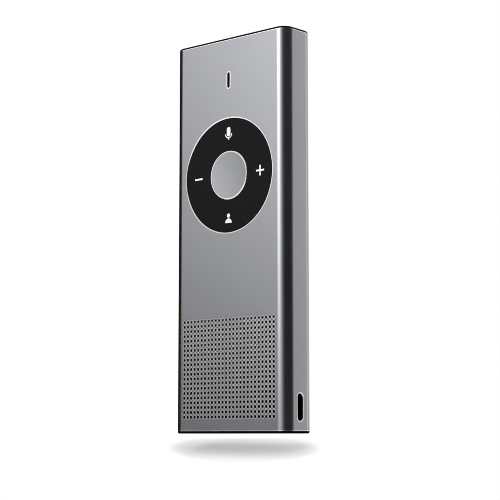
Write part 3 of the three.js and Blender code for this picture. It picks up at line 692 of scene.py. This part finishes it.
mark_faces(grille, hole_painted_light)
give(grille, sleeve_aluminium)
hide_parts("speaker_grille")
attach(grille, "housing")
print("speaker holes:", HOLE_COLUMNS * HOLE_ROWS)

# %% [markdown]
# Moulded plastic has the fine even grain of an etched mould. One function makes every plastic of
# the device from its colour and roughness. The caps' black has no gloss at all, because it is only
# seen at a grazing angle, where even a dull plastic would mirror the white studio.

# %% Moulded plastics
def moulded_finish(name, colour, roughness, grain_size=0.25, grain_depth=0.006, **constants):
    """Plastic with the fine even grain of an etched mould."""
    finish = Finish(name, **constants)
    grain = finish.noise(grain_size, detail=3.0)
    cloud = finish.noise(size=6.0)
    lighter = tuple(1.25 * level + 0.001 for level in colour)
    finish.vary("Base Color", finish.mix((grain + cloud) * 0.5, colour, lighter))
    finish.vary("Roughness", roughness + grain.swing(0.12) + cloud.swing(0.06))
    finish.bump(grain, grain_depth, strength=0.5)
    return finish


cap_plastic = moulded_finish(
    "black_cap_plastic", (0.0045, 0.0045, 0.0048), roughness=0.5, Specular_IOR_Level=0.0,
)
print("material:", cap_plastic.material.name)

# %% [markdown]
# The two end caps close the tube. Only a thin edge of each shows, with a soft rim, and its plug
# sits inside. The top cap also carries the microphone's port, a small hole with a chamfer.

# %% End caps
CAP_ROUND = 0.5
CAP_STEPS = 6
CAP_INSET = 0.03
PLUG_LENGTH = 2.2
PLUG_INSET = WALL + 0.15
MIC_X = 8.0
MIC_PORT_RADIUS = 0.5
MIC_PORT_DEPTH = 4.0
MIC_CHAMFER = 0.12
mic_low, mic_high = box_mm("microphone")
MIC_Y = (mic_low[1] + mic_high[1]) / 2


def cap_rows(edge_z, seam_z):
    """Rows from the plug's end, out over the thin edge and in over the rounded rim."""
    out = 1 if edge_z > seam_z else -1
    thickness = abs(edge_z - seam_z)
    rise = min(CAP_ROUND, thickness)
    rows = [
        level_outline(seam_z - out * PLUG_LENGTH, PLUG_INSET),
        level_outline(seam_z, PLUG_INSET),
        level_outline(seam_z, CAP_INSET),
    ]
    for step in range(CAP_STEPS + 1):
        turn = math.radians(90 * step / CAP_STEPS)
        inset = CAP_INSET + CAP_ROUND * (1 - math.cos(turn))
        rows.append(level_outline(edge_z - out * rise * (1 - math.sin(turn)), inset))
    return rows


bottom_cap = skinned("bottom_cap", cap_rows(0, low_z))
top_cap = skinned("top_cap", cap_rows(BODY_HEIGHT, high_z))
mic_levels = ((-MIC_PORT_DEPTH, 0), (-MIC_CHAMFER, 0), (0, MIC_CHAMFER), (1, MIC_CHAMFER + 1))
combine(top_cap, "DIFFERENCE", skinned("mic_knife", [
    [(MIC_X + x, MIC_Y + y, BODY_HEIGHT + rise) for x, y in disc(MIC_PORT_RADIUS + grow)]
    for rise, grow in mic_levels
]))
for cap, node in ((bottom_cap, "bottom_end_cap"), (top_cap, "top_end_cap")):
    crisp(cap, 50)
    give(cap, cap_plastic)
    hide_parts(node)
    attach(cap, "housing")

# %% [markdown]
# The ring key is one moulding: a flat black ring with softly rounded edges, a flange behind the
# face that keeps it in, four nubs that press the snap domes and two pairs of prongs for the gimbal
# plate. The hidden forms follow the CAD, because the ring tilts as one piece.

# %% Ring key
RING_RECESS = 0.15
RING_INNER = BUTTON_RADIUS + 0.15
RING_EDGE_ROUND = 0.2
RING_EDGE_STEPS = 5
RING_STEPS = 144
FLANGE_FRONT = 1.8
FLANGE_BACK = 2.4
FLANGE_RADIUS = 19.0
STEP_RADIUS = 9.6
LIP_BACK = 1.25
PRESS_RADIUS = 14.8
PRESS_DEPTH = 4.1
PRONG_HALF = 0.95
PRONG_WIDTH = 0.9
PRONG_BACK = 3.25
FORK_START, FORK_END = 11.5, 12.7
NUB_RADIUS = 1.2
JOIN_OVERLAP = 0.3


def ring_profile():
    depth = RING_RECESS + RING_EDGE_ROUND
    outer_middle = (RING_RADIUS - RING_EDGE_ROUND, depth)
    inner_middle = (RING_INNER + RING_EDGE_ROUND, depth)
    outer = arc(outer_middle, RING_EDGE_ROUND, -90, 0, RING_EDGE_STEPS)
    inner = arc(inner_middle, RING_EDGE_ROUND, 180, 270, RING_EDGE_STEPS)
    return inner + outer + [
        (RING_RADIUS, FLANGE_FRONT), (FLANGE_RADIUS, FLANGE_FRONT), (FLANGE_RADIUS, FLANGE_BACK),
        (STEP_RADIUS, FLANGE_BACK), (STEP_RADIUS, LIP_BACK), (RING_INNER, LIP_BACK),
    ]


def nub(index, x, z):
    return skinned(f"nub_{index}", [
        [(x + dx, FACE_Y + depth, KEY_Z + z + dz) for dx, dz in disc(NUB_RADIUS)]
        for depth in (FLANGE_BACK - JOIN_OVERLAP, PRESS_DEPTH)
    ])


def prong(index, hand, up):
    xs = sorted((hand * PRONG_HALF, hand * (PRONG_HALF + PRONG_WIDTH)))
    zs = sorted((KEY_Z + up * FORK_START, KEY_Z + up * FORK_END))
    low = (xs[0], FACE_Y + FLANGE_BACK - JOIN_OVERLAP, zs[0])
    return block(f"prong_{index}", low, (xs[1], FACE_Y + PRONG_BACK, zs[1]))


ring = turned("ring_key_moulding", ring_profile(), RING_STEPS, joined=True)
press_places = ((0, PRESS_RADIUS), (0, -PRESS_RADIUS), (PRESS_RADIUS, 0), (-PRESS_RADIUS, 0))
nubs = [nub(index, x, z) for index, (x, z) in enumerate(press_places)]
hands = [(hand, up) for hand in (1, -1) for up in (1, -1)]
prongs = [prong(index, hand, up) for index, (hand, up) in enumerate(hands)]
combine(ring, "UNION", *nubs, *prongs)
crisp(ring, 35)
ring_plastic = moulded_finish(
    "satin_black_ring", (0.0052, 0.0052, 0.0056), roughness=0.5, grain_size=0.12,
    grain_depth=0.003, Specular_IOR_Level=0.1,
)
give(ring, ring_plastic)
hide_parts("ring_key")
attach(ring, "ring")

# %% [markdown]
# Four marks are printed in white on the ring: a microphone above, a plus and a minus at the sides,
# and a plain person below. A print stands a few hundredths of a millimetre proud of the plastic,
# so each mark is a flat outline with that thickness, joined to its neighbours where strokes
# overlap.

# %% Printed marks
PRINT_THICKNESS = 0.03
PRINT_SUNK = 0.01
STROKE = 0.56
MARK_LENGTH = 3.3
MARK_RADIUS = 13.2
MINUS_RADIUS = 12.93
CAPSULE_WIDTH, CAPSULE_LENGTH = 1.55, 3.0
CRADLE_RADIUS, CRADLE_STROKE = 1.32, 0.36
STEM_WIDTH, STEM_LENGTH = 0.5, 0.7
CAPSULE_Z, CRADLE_Z, STEM_Z = 13.85, 13.2, 11.65
HEAD_RADIUS, HEAD_Z = 0.66, -12.9
SHOULDER_RADIUS, SHOULDER_Z = 1.4, -15.2
print_white = moulded_finish(
    "white_print", (0.95, 0.95, 0.95), roughness=0.5, grain_size=0.08, grain_depth=0.002,
)


def pad(name, outline, x, z):
    """A flat print with this outline, centred on a place of the ring's face."""
    return skinned(name, [
        [(x + across, FACE_Y + RING_RECESS - out, KEY_Z + z + up) for across, up in outline]
        for out in (-PRINT_SUNK, PRINT_THICKNESS)
    ])


def bar(width, height):
    right, top = width / 2, height / 2
    return [(-right, -top), (right, -top), (right, top), (-right, top)]


def stroke_arc(radius, start, end, width, steps=20):
    """A bent stroke with square ends."""
    outer = arc((0, 0), radius + width / 2, start, end, steps)
    inner = arc((0, 0), radius - width / 2, end, start, steps)
    return outer + inner


plus = pad("mark_louder", bar(MARK_LENGTH, STROKE), MARK_RADIUS, 0)
combine(plus, "UNION", pad("plus_upright", bar(STROKE, MARK_LENGTH), MARK_RADIUS, 0))
minus = pad("mark_quieter", bar(MARK_LENGTH, STROKE), -MINUS_RADIUS, 0)
microphone = pad("mark_voice", stadium(CAPSULE_WIDTH, CAPSULE_LENGTH), 0, CAPSULE_Z)
cradle_bow = stroke_arc(CRADLE_RADIUS, 180, 360, CRADLE_STROKE)
cradle = pad("mark_voice_cradle", cradle_bow, 0, CRADLE_Z)
combine(cradle, "UNION", pad("voice_stem", bar(STEM_WIDTH, STEM_LENGTH), 0, STEM_Z))
person = pad("mark_person_head", disc(HEAD_RADIUS), 0, HEAD_Z)
shoulder_bow = arc((0, 0), SHOULDER_RADIUS, 0, 180, steps=24)
shoulders = pad("mark_person_shoulders", shoulder_bow, 0, SHOULDER_Z)
for mark in (plus, minus, microphone, cradle, person, shoulders):
    give(mark, print_white)
    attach(mark, "ring")
    print("mark:", mark.name)

# %% [markdown]
# The button in the middle is a metal disc, spun on a lathe: a very shallow dish with fine circular
# marks and a bare chamfer and land round it, whose lighter colour is a painted highlight. The dish
# makes its lower left side face the light, which is why one half looks brighter than the other.

# %% Button
DISH_DEPTH = 0.17
BUTTON_RECESS = 0.1
BUTTON_CHAMFER = 0.12
BUTTON_LAND = 0.28
CAP_BACK = 1.0
DISH_STEPS = 10
BUTTON_STEPS = 96
dish_edge = BUTTON_RADIUS - BUTTON_CHAMFER - BUTTON_LAND


def button_profile():
    dish = []
    for step in range(1, DISH_STEPS + 1):
        share = step / DISH_STEPS
        dish.append((dish_edge * share, BUTTON_RECESS + DISH_DEPTH * (1 - share * share)))
    return dish + [
        (BUTTON_RADIUS - BUTTON_CHAMFER, BUTTON_RECESS),
        (BUTTON_RADIUS, BUTTON_RECESS + BUTTON_CHAMFER), (BUTTON_RADIUS, CAP_BACK),
    ]


button = turned("button_face", button_profile(), BUTTON_STEPS)
crisp(button, 30)


def button_painted_highlight(centre, normal):
    """Painted highlight (1) on the bare land and chamfer round the dish."""
    past_dish = math.hypot(centre.x, centre.z - KEY_Z) > dish_edge
    # Painted highlight on the land and chamfer.
    return 1.0 if past_dish and normal.y < -FRONTAL else 0.0


mark_faces(button, button_painted_highlight)
button_finish = aluminium_finish("spun_button_aluminium", roughness=0.28, marks_depth=0.5)
give(button, button_finish)
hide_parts("button_cap")
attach(button, "centre_button")

# %% [markdown]
# A smoked light pipe fills the slit. Its front is a little round, like a drop held in the slot.

# %% Status window
PIPE_FIT = 0.08
PIPE_DOME = ((0.07, 0), (0.02, 0.08), (0, 0.2))
PIPE_STEPS = 8
PIPE_BASE_WIDTH = 2.6
PIPE_BASE_LENGTH = 7.0
PIPE_BASE_ROUND = 0.65
PIPE_END_SHARE = 0.98
PIPE_BACK = box_mm("light_pipe")[1][1] - FACE_Y
window_plastic = moulded_finish(
    "smoked_window", (0.0012, 0.0012, 0.0015), roughness=0.2, grain_depth=0.0004,
    Specular_IOR_Level=0.05,
)


def pipe_row(depth, width, length, corner):
    outline = rounded_outline(width, length, corner, PIPE_STEPS)
    return [(across, FACE_Y + depth, SLIT_Z + up) for across, up in outline]


def pipe_rows():
    width, length = SLIT_WIDTH - 2 * PIPE_FIT, SLIT_LENGTH - 2 * PIPE_FIT
    rows = [
        pipe_row(depth, PIPE_BASE_WIDTH, PIPE_BASE_LENGTH, PIPE_BASE_ROUND)
        for depth in (PIPE_BACK, WALL)
    ]
    dome = [(RING_RECESS + below, inset) for below, inset in PIPE_DOME]
    for depth, inset in ((WALL, 0), *dome):
        corner = (width / 2 - inset) * PIPE_END_SHARE
        rows.append(pipe_row(depth, width - 2 * inset, length - 2 * inset, corner))
    return rows


window = skinned("status_window", pipe_rows())
crisp(window, 50)
give(window, window_plastic)
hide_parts("light_pipe")
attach(window, "housing")

# %% [markdown]
# The charging port is a folded steel shell with a rounded lip. Its mouth keeps the steel's colour,
# and further in it is painted dark, a painted shade for the place where hardly any light gets
# there.
# The black tongue in its middle is the CAD's own.

# %% Charging port
SHELL_SHEET = 0.3
SHELL_LIP = 0.06
SHELL_SET_BACK = 0.02
SHELL_FRONT = shell_high[0] - SHELL_SET_BACK
SHELL_BRIGHT = 0.15
SHELL_BACK = shell_low[0]
TONGUE_TIP = box_mm("port_tongue")[1][0]


def shell_row(x, inset):
    outline = stadium(PORT_WIDTH - 2 * inset, PORT_HEIGHT - 2 * inset)
    return [(x, across, PORT_Z + up) for across, up in outline]


def metal_finish(name, colour, roughness, streaks=(1, 1, 1), painted_shade_inside=False):
    """Rolled or plated metal with faint streaks."""
    finish = Finish(name, Metallic=1.0)
    grain = finish.noise(size=0.3, detail=3.0, stretch=streaks)
    metal = finish.mix(grain, tinted(colour, 0.85), colour)
    # Painted shade where the face attribute is -1, inside the port's shell.
    if painted_shade_inside:
        metal = finish.mix(finish.edge_mark() * -1.0, metal, PAINTED_SHADE)
    finish.vary("Base Color", metal)
    finish.vary("Roughness", roughness + grain.swing(0.15))
    finish.bump(grain, depth=0.003, strength=0.3)
    return finish


mouth_back = SHELL_FRONT - SHELL_LIP - SHELL_BRIGHT
shell = skinned("port_shell_fold", [
    shell_row(SHELL_BACK, 0),
    shell_row(SHELL_FRONT - SHELL_LIP, 0),
    shell_row(SHELL_FRONT, SHELL_LIP),
    shell_row(SHELL_FRONT, SHELL_SHEET - SHELL_LIP),
    shell_row(SHELL_FRONT - SHELL_LIP, SHELL_SHEET),
    shell_row(mouth_back, SHELL_SHEET),
    shell_row(SHELL_BACK + SHELL_SHEET, SHELL_SHEET),
])
crisp(shell)
inner_reach = PORT_WIDTH / 2 - SHELL_SHEET + SHELL_LIP / 2


def shell_painted_shade(centre, _normal):
    """Painted shade (-1) inside the shell, behind its mouth."""
    over = max(abs(centre.z - PORT_Z) - (PORT_HEIGHT - PORT_WIDTH) / 2, 0)
    inside = math.hypot(centre.y, over) < inner_reach and centre.x < mouth_back
    return -1.0 if inside else 0.0


mark_faces(shell, shell_painted_shade)
give(shell, metal_finish(
    "port_steel", (0.88, 0.88, 0.88), roughness=0.3, streaks=(4, 1, 1), painted_shade_inside=True,
))
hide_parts("port_shell")
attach(shell, "housing")

# %% [markdown]
# Twelve gilt contacts lie along each side of the tongue at a pitch of half a millimetre, pressed
# from sheet with a sloping front end. One pair is drawn, and Geometry Nodes repeat it in a row.

# %% Port contacts
CONTACTS = 12
CONTACT_PITCH = 0.5
CONTACT_WIDTH = 0.28
CONTACT_PROUD = 0.03
CONTACT_SLOPE = 0.2
CONTACT_SET_BACK = 0.25
CONTACT_SUNK = 0.02
CONTACT_TOP = 0.8
TONGUE_HALF = 0.35


def contact_pair_maker(maker):
    start, end = SHELL_BACK + SHELL_SHEET, TONGUE_TIP - CONTACT_SET_BACK
    inner = TONGUE_HALF - CONTACT_SUNK
    for side in (1, -1):
        rows = []
        for x, out in ((start, CONTACT_PROUD), (end - CONTACT_SLOPE, CONTACT_PROUD), (end, 0)):
            outer = TONGUE_HALF + out
            corners = ((inner, -1), (outer, -CONTACT_TOP), (outer, CONTACT_TOP), (inner, 1))
            rows.append([(x, side * across, edge * CONTACT_WIDTH / 2) for across, edge in corners])
        skin(maker, rows)


def row_tree():
    """Copies of a cell in an upright row that starts at the cell's own place, in metres."""
    tree, given = new_tree("row_of_cells", {
        "Count": "Int", "Pitch": "Float", "Weld": "Float", "Cell": "Object", "Finish": "Material",
    })
    step = tree_node(tree, "ShaderNodeCombineXYZ", {"Z": given["Pitch"]})
    line = tree_node(tree, "GeometryNodeMeshLine", {
        "Count": given["Count"], "Offset": step.outputs[0],
    })
    cell = tree_node(tree, "GeometryNodeObjectInfo", {"Object": given["Cell"]})
    copies = tree_node(tree, "GeometryNodeInstanceOnPoints", {
        "Points": line.outputs[0], "Instance": cell.outputs["Geometry"],
    })
    finish_tree(tree, copies.outputs[0], given["Finish"], given["Weld"])
    return tree


gilt = metal_finish("gilt_contacts", (0.85, 0.62, 0.28), roughness=0.25, streaks=(1, 1, 4))
contact_pair = piece_from("contact_pair", contact_pair_maker)
contacts = grown("port_contacts", row_tree(), {
    "Count": CONTACTS, "Pitch": CONTACT_PITCH * MM, "Weld": WELD * MM,
    "Cell": contact_pair, "Finish": gilt.material,
})
bpy.data.objects.remove(contact_pair)
moved(contacts, 0, 0, PORT_Z - CONTACT_PITCH * (CONTACTS - 1) / 2)
give(contacts, gilt)
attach(contacts, "housing")
print("contacts:", 2 * CONTACTS, "faces:", len(contacts.data.polygons))

# %% [markdown]
# Everything else stays as the CAD drew it and only gets its material. Most of it is hidden in the
# sleeve, but the speaker's cloth shows through the holes, so it gets a real weave.

# %% Materials of the inner pieces
def cloth_finish(name, colour, thread):
    finish = Finish(name, Roughness=0.95)
    across, _, up = finish.axes()
    wave = 2 * math.pi / (thread * MM)
    weft = (across * wave).math("SINE")
    warp = (up * wave).math("SINE")
    weave = (weft * warp) * 0.5 + 0.5
    finish.vary("Base Color", finish.mix(weave, colour, tinted(colour, 1.8)))
    finish.bump(weave, depth=0.02, strength=0.6)
    return finish


PLASTICS = {
    "carrier_plastic": ((0.02, 0.02, 0.022), 0.55),
    "port_plastic": ((0.006, 0.006, 0.006), 0.45),
    "circuit_board": ((0.012, 0.075, 0.032), 0.4),
    "chip_plastic": ((0.012, 0.012, 0.013), 0.5),
    "lamp_plastic": ((0.75, 0.72, 0.6), 0.4),
    "connector_plastic": ((0.75, 0.72, 0.62), 0.5),
    "black_rubber": ((0.012, 0.012, 0.012), 0.8),
    "adhesive": ((0.6, 0.6, 0.57), 0.7),
    "flex_film": ((0.45, 0.16, 0.03), 0.35),
    "cone_paper": ((0.04, 0.04, 0.045), 0.8),
}
METALS = {
    "spring_steel": ((0.6, 0.6, 0.58), 0.22),
    "screw_steel": ((0.42, 0.42, 0.43), 0.35),
    "plated_can": ((0.5, 0.51, 0.52), 0.3, (1, 1, 4)),
    "copper": ((0.6, 0.3, 0.15), 0.3),
    "battery_foil": ((0.5, 0.51, 0.53), 0.4, (1, 1, 3)),
    "basket_steel": ((0.05, 0.05, 0.055), 0.45),
    "magnet_steel": ((0.3, 0.3, 0.32), 0.35),
}
CLOTH = (0.006, 0.006, 0.007)
THREAD_PITCH = 0.16
inner_finishes = {slot: moulded_finish(slot, *look) for slot, look in PLASTICS.items()}
inner_finishes.update({slot: metal_finish(slot, *look) for slot, look in METALS.items()})
inner_finishes["dust_cloth"] = cloth_finish("dust_cloth", CLOTH, THREAD_PITCH)
inner_finishes["smoked_window"] = window_plastic
replaced = {
    "housing_sleeve", "speaker_grille", "bottom_end_cap", "top_end_cap", "ring_key", "button_cap",
    "port_shell", "light_pipe",
}
for subpart in frame["record"]["subparts"]:
    if subpart["node"] not in replaced:
        give(frame["nodes"][subpart["node"]], inner_finishes[subpart["material_slot"]])

# %% [markdown]
# The studio is a light tent, as used for small shiny products: a sphere of soft light round the
# device, bright where its panels are and dark where black cards stand. Metal shows exactly what it
# reflects, so the tent decides the look of the sleeve: a panel at the front left that darkens
# towards the table, a bright strip beside it that draws the line down the right corner, a dark
# card behind the camera and paler panels at the back. The camera doesn't see the tent, only the
# white.

# %% Studio
TENT_RADIUS = 1.2
TENT_START = 75.0
TENT_STRONGEST = 3.2
DARKEST = 0.003
TENT_LEVELS = (
    (75, 0.004, 0.004), (100, 0.005, 0.005), (112, 0.018, 0.018), (124, 0.08, 0.08),
    (134, 0.42, 0.39), (139, 0.71, 0.65), (144, 0.91, 0.82), (149, 1.35, 1.3), (155, 1.1, 1.05),
    (163, 0.75, 0.75), (212, 0.75, 0.75), (224, 0.5, 0.5), (234, 0.02, 0.02), (301, 0.006, 0.006),
    (306, 0.18, 0.05), (310, 0.60, 0.22), (314, 0.94, 0.355), (318, 0.93, 0.350),
    (324, 1.21, 0.375), (331, 1.83, 0.46), (338, 2.85, 0.73), (347, 3.15, 0.85), (353, 2.70, 0.82),
    (360, 1.65, 0.76), (372, 0.72, 0.49), (383, 0.26, 0.20), (394, 0.05, 0.045),
    (405, 0.014, 0.014), (420, 0.005, 0.005), (435, 0.004, 0.004),
)
RAISED_ANGLE = 16.0
LEAST_RISE, MOST_RISE = -0.5, 1.4
ABOVE_FADE, ABOVE_LEVEL = (26.0, 50.0), 0.5
BELOW_FADE, BELOW_LEVEL = (9.0, 24.0), 1.0
DEGREE = 180 / math.pi


def ramp(finish, column, turn):
    """The tent's level at one height, by direction round the device."""
    node = finish.node("ShaderNodeValToRGB", None, {0: turn})
    stops = node.color_ramp.elements
    while len(stops) < len(TENT_LEVELS):
        stops.new(1.0)
    for stop, row in zip(stops, TENT_LEVELS):
        level = row[column] / TENT_STRONGEST
        stop.position = (row[0] - TENT_START) / 360
        stop.color = (level, level, level, 1.0)
    return Wire(finish, node.outputs[0])


def soft_step(finish, value, start, end):
    settings = {"interpolation_type": "SMOOTHSTEP"}
    values = {"Value": value, "From Min": start, "From Max": end}
    return Wire(finish, finish.node("ShaderNodeMapRange", settings, values).outputs[0])


def tent_finish():
    """Light whose strength depends on the direction from the tent's middle."""
    finish = Finish("tent_light", "ShaderNodeEmission")
    x, y, z = finish.axes()
    azimuth = x.math("ARCTAN2", y * -1.0) * DEGREE
    turn = ((azimuth - TENT_START) / 360.0).math("FRACT")
    height = z.math("ARCTAN2", (x * x + y * y).math("SQRT")) * DEGREE
    rise = (height / RAISED_ANGLE).math("MAXIMUM", LEAST_RISE).math("MINIMUM", MOST_RISE)
    low, high = ramp(finish, 2, turn), ramp(finish, 1, turn)
    level = ((low + (high - low) * rise) * TENT_STRONGEST).math("MAXIMUM", DARKEST)
    above = soft_step(finish, height, *ABOVE_FADE)
    below = soft_step(finish, height * -1.0, *BELOW_FADE)
    lit = level * (1 - above) + above * ABOVE_LEVEL
    finish.vary("Strength", lit * (1 - below) + below * BELOW_LEVEL)
    finish.material.cycles.emission_sampling = "NONE"
    return finish


tent = piece_from("light_tent", lambda maker: bmesh.ops.create_uvsphere(
    maker, u_segments=48, v_segments=24, radius=TENT_RADIUS,
))
give(tent, tent_finish())
tent.visible_camera = False
tent.visible_shadow = False
print("tent levels:", len(TENT_LEVELS), "of up to", TENT_STRONGEST)

# %% [markdown]
# The device seems to float above its own soft shadow. A small white card under it catches the
# shadow that the lamp casts. It bends down towards the camera, because a level one would be seen
# edge-on from this low. Two ovals also paint a shadow into how much the card glows to the camera:
# little in the core under the device, more round it, and further out as much as the white
# background, so that the card has no edge. Its back part glows as much everywhere, because the
# ovals only suit the camera's view.

# %% Shadow card
CARD_DROP = 5.25
CARD_SLOPE = 0.35
CARD_FALL = 8.0
CARD_RISE = 4.1
CARD_HALF_LENGTH = 60.0
CARD_HALF_WIDTH = 36.0
CARD_ROWS = 36
CARD_PAINT = 0.28
# The card's glow to the camera: dim in the painted shadow's core, pale in its rim, white outside.
PAINTED_SHADOW_LEVELS = (0.434, 0.79, 1.0)
CORE_MIDDLE, CORE_HALVES, CORE_FADE = (-2.6, -4.4), (32.2, 2.75), (0.14, 1.65)
RIM_MIDDLE, RIM_HALVES, RIM_FADE = (-0.25, -4.6), (30.5, 6.4), (0.6, 1.0)
CORE_TILT = 0.012
BEHIND_FADE = (13.0, 32.0)


def card_maker(maker):
    rows = []
    for step in range(CARD_ROWS + 1):
        y = CARD_HALF_WIDTH * (2 * step / CARD_ROWS - 1)
        bend = CARD_FALL if y < 0 else CARD_RISE
        z = bend * math.tanh(CARD_SLOPE * y / bend) - CARD_DROP
        ends = [Vector((hand * CARD_HALF_LENGTH, y, z)) for hand in (-1, 1)]
        rows.append([maker.verts.new(end * MM) for end in ends])
    for front, back in zip(rows, rows[1:]):
        maker.faces.new((front[0], front[1], back[1], back[0]))


card = piece_from("shadow_card", card_maker)
card_paint = Finish("white_card", Roughness=0.9, Specular_IOR_Level=0.0, Emission_Strength=1.0)
card_paint.vary("Base Color", card_paint.mix(
    card_paint.noise(size=40.0), (0.99 * CARD_PAINT,) * 3, (1.01 * CARD_PAINT,) * 3,
))
across, deep, up = card_paint.axes()
heading = math.radians(CAMERA_YAW)
sideways = (across * math.cos(heading) + deep * math.sin(heading)) / MM
upwards = up / MM


def oval_fade(height, middle, halves, fade):
    """0 in an oval of the card and 1 outside it, over a soft rim: the shape of a painted shadow."""
    long_share = (sideways - middle[0]) / halves[0]
    high_share = (height - middle[1]) / halves[1]
    reach = (long_share * long_share + high_share * high_share).math("SQRT")
    return soft_step(card_paint, reach, *fade)


# Painted shadow: the card glows less for the camera inside these ovals.
painted_shadow_core = oval_fade(upwards + sideways * CORE_TILT, CORE_MIDDLE, CORE_HALVES, CORE_FADE)
behind = soft_step(card_paint, deep / MM, *BEHIND_FADE)
painted_shadow_rim = 1 - (1 - oval_fade(upwards, RIM_MIDDLE, RIM_HALVES, RIM_FADE)) * (1 - behind)
painted_shadow_dim, painted_shadow_pale, white = [(level,) * 3 for level in PAINTED_SHADOW_LEVELS]
glow_with_painted_shadow = card_paint.mix(painted_shadow_rim, card_paint.mix(painted_shadow_core, painted_shadow_dim, painted_shadow_pale), white)
seen = card_paint.node("ShaderNodeLightPath").outputs["Is Camera Ray"]
card_paint.vary("Emission Color", card_paint.mix(seen, (0.0,) * 3, glow_with_painted_shadow))
give(card, card_paint)
card.visible_glossy = False
print("card:", 2 * CARD_HALF_LENGTH, "by", 2 * CARD_HALF_WIDTH, "mm")

# %% [markdown]
# One wide lamp above casts the real part of that shadow. It leans a little, from the camera's
# right, so that the shadow lies under the middle of the picture of the device. The world is plain
# white.

# %% Lamp and world
LAMP_LEAN = 10.0
LAMP_STRENGTH = 3.0
LAMP_SPREAD = 125.0
lamp_data = bpy.data.lights.new("round_lamp", "SUN")
lamp_data.energy = LAMP_STRENGTH
lamp_data.angle = math.radians(LAMP_SPREAD)
lamp = bpy.data.objects.new("round_lamp", lamp_data)
bpy.context.collection.objects.link(lamp)
lamp.location = (0, 0, 1)
lamp.rotation_euler = (0, math.radians(LAMP_LEAN), math.radians(CAMERA_YAW))

world = bpy.data.worlds.new("white_room")
bpy.context.scene.world = world
world.use_nodes = True
world.node_tree.nodes["Background"].inputs["Color"].default_value = (1, 1, 1, 1)
world.node_tree.nodes["Background"].inputs["Strength"].default_value = 1.0
bpy.context.scene.view_settings.view_transform = "Standard"
print("lamp leans", LAMP_LEAN, "degrees")

# %% [markdown]
# The camera stands at the height of the device's bottom, to its front right, and looks slightly
# up, through a long lens that keeps the verticals nearly parallel. A pixel filter narrower than
# usual draws the thin seams and the small holes as crisp as a product picture has them.

# %% Camera
CAMERA_PLACE = (315.126, -348.836, -0.447)
CAMERA_PITCH = 7.031
CAMERA_LENS = 108.0124
SENSOR_WIDTH = 36.0
PIXEL_FILTER = 0.9
camera_data = bpy.data.cameras.new("camera")
camera_data.sensor_width = SENSOR_WIDTH
camera_data.lens = CAMERA_LENS
camera = bpy.data.objects.new("camera", camera_data)
bpy.context.collection.objects.link(camera)
camera.location = Vector(CAMERA_PLACE) * MM
camera.rotation_euler = (math.radians(90 + CAMERA_PITCH), 0, math.radians(CAMERA_YAW))
bpy.context.scene.camera = camera
bpy.context.scene.cycles.filter_width = PIXEL_FILTER
print("camera at", CAMERA_PLACE, "mm")
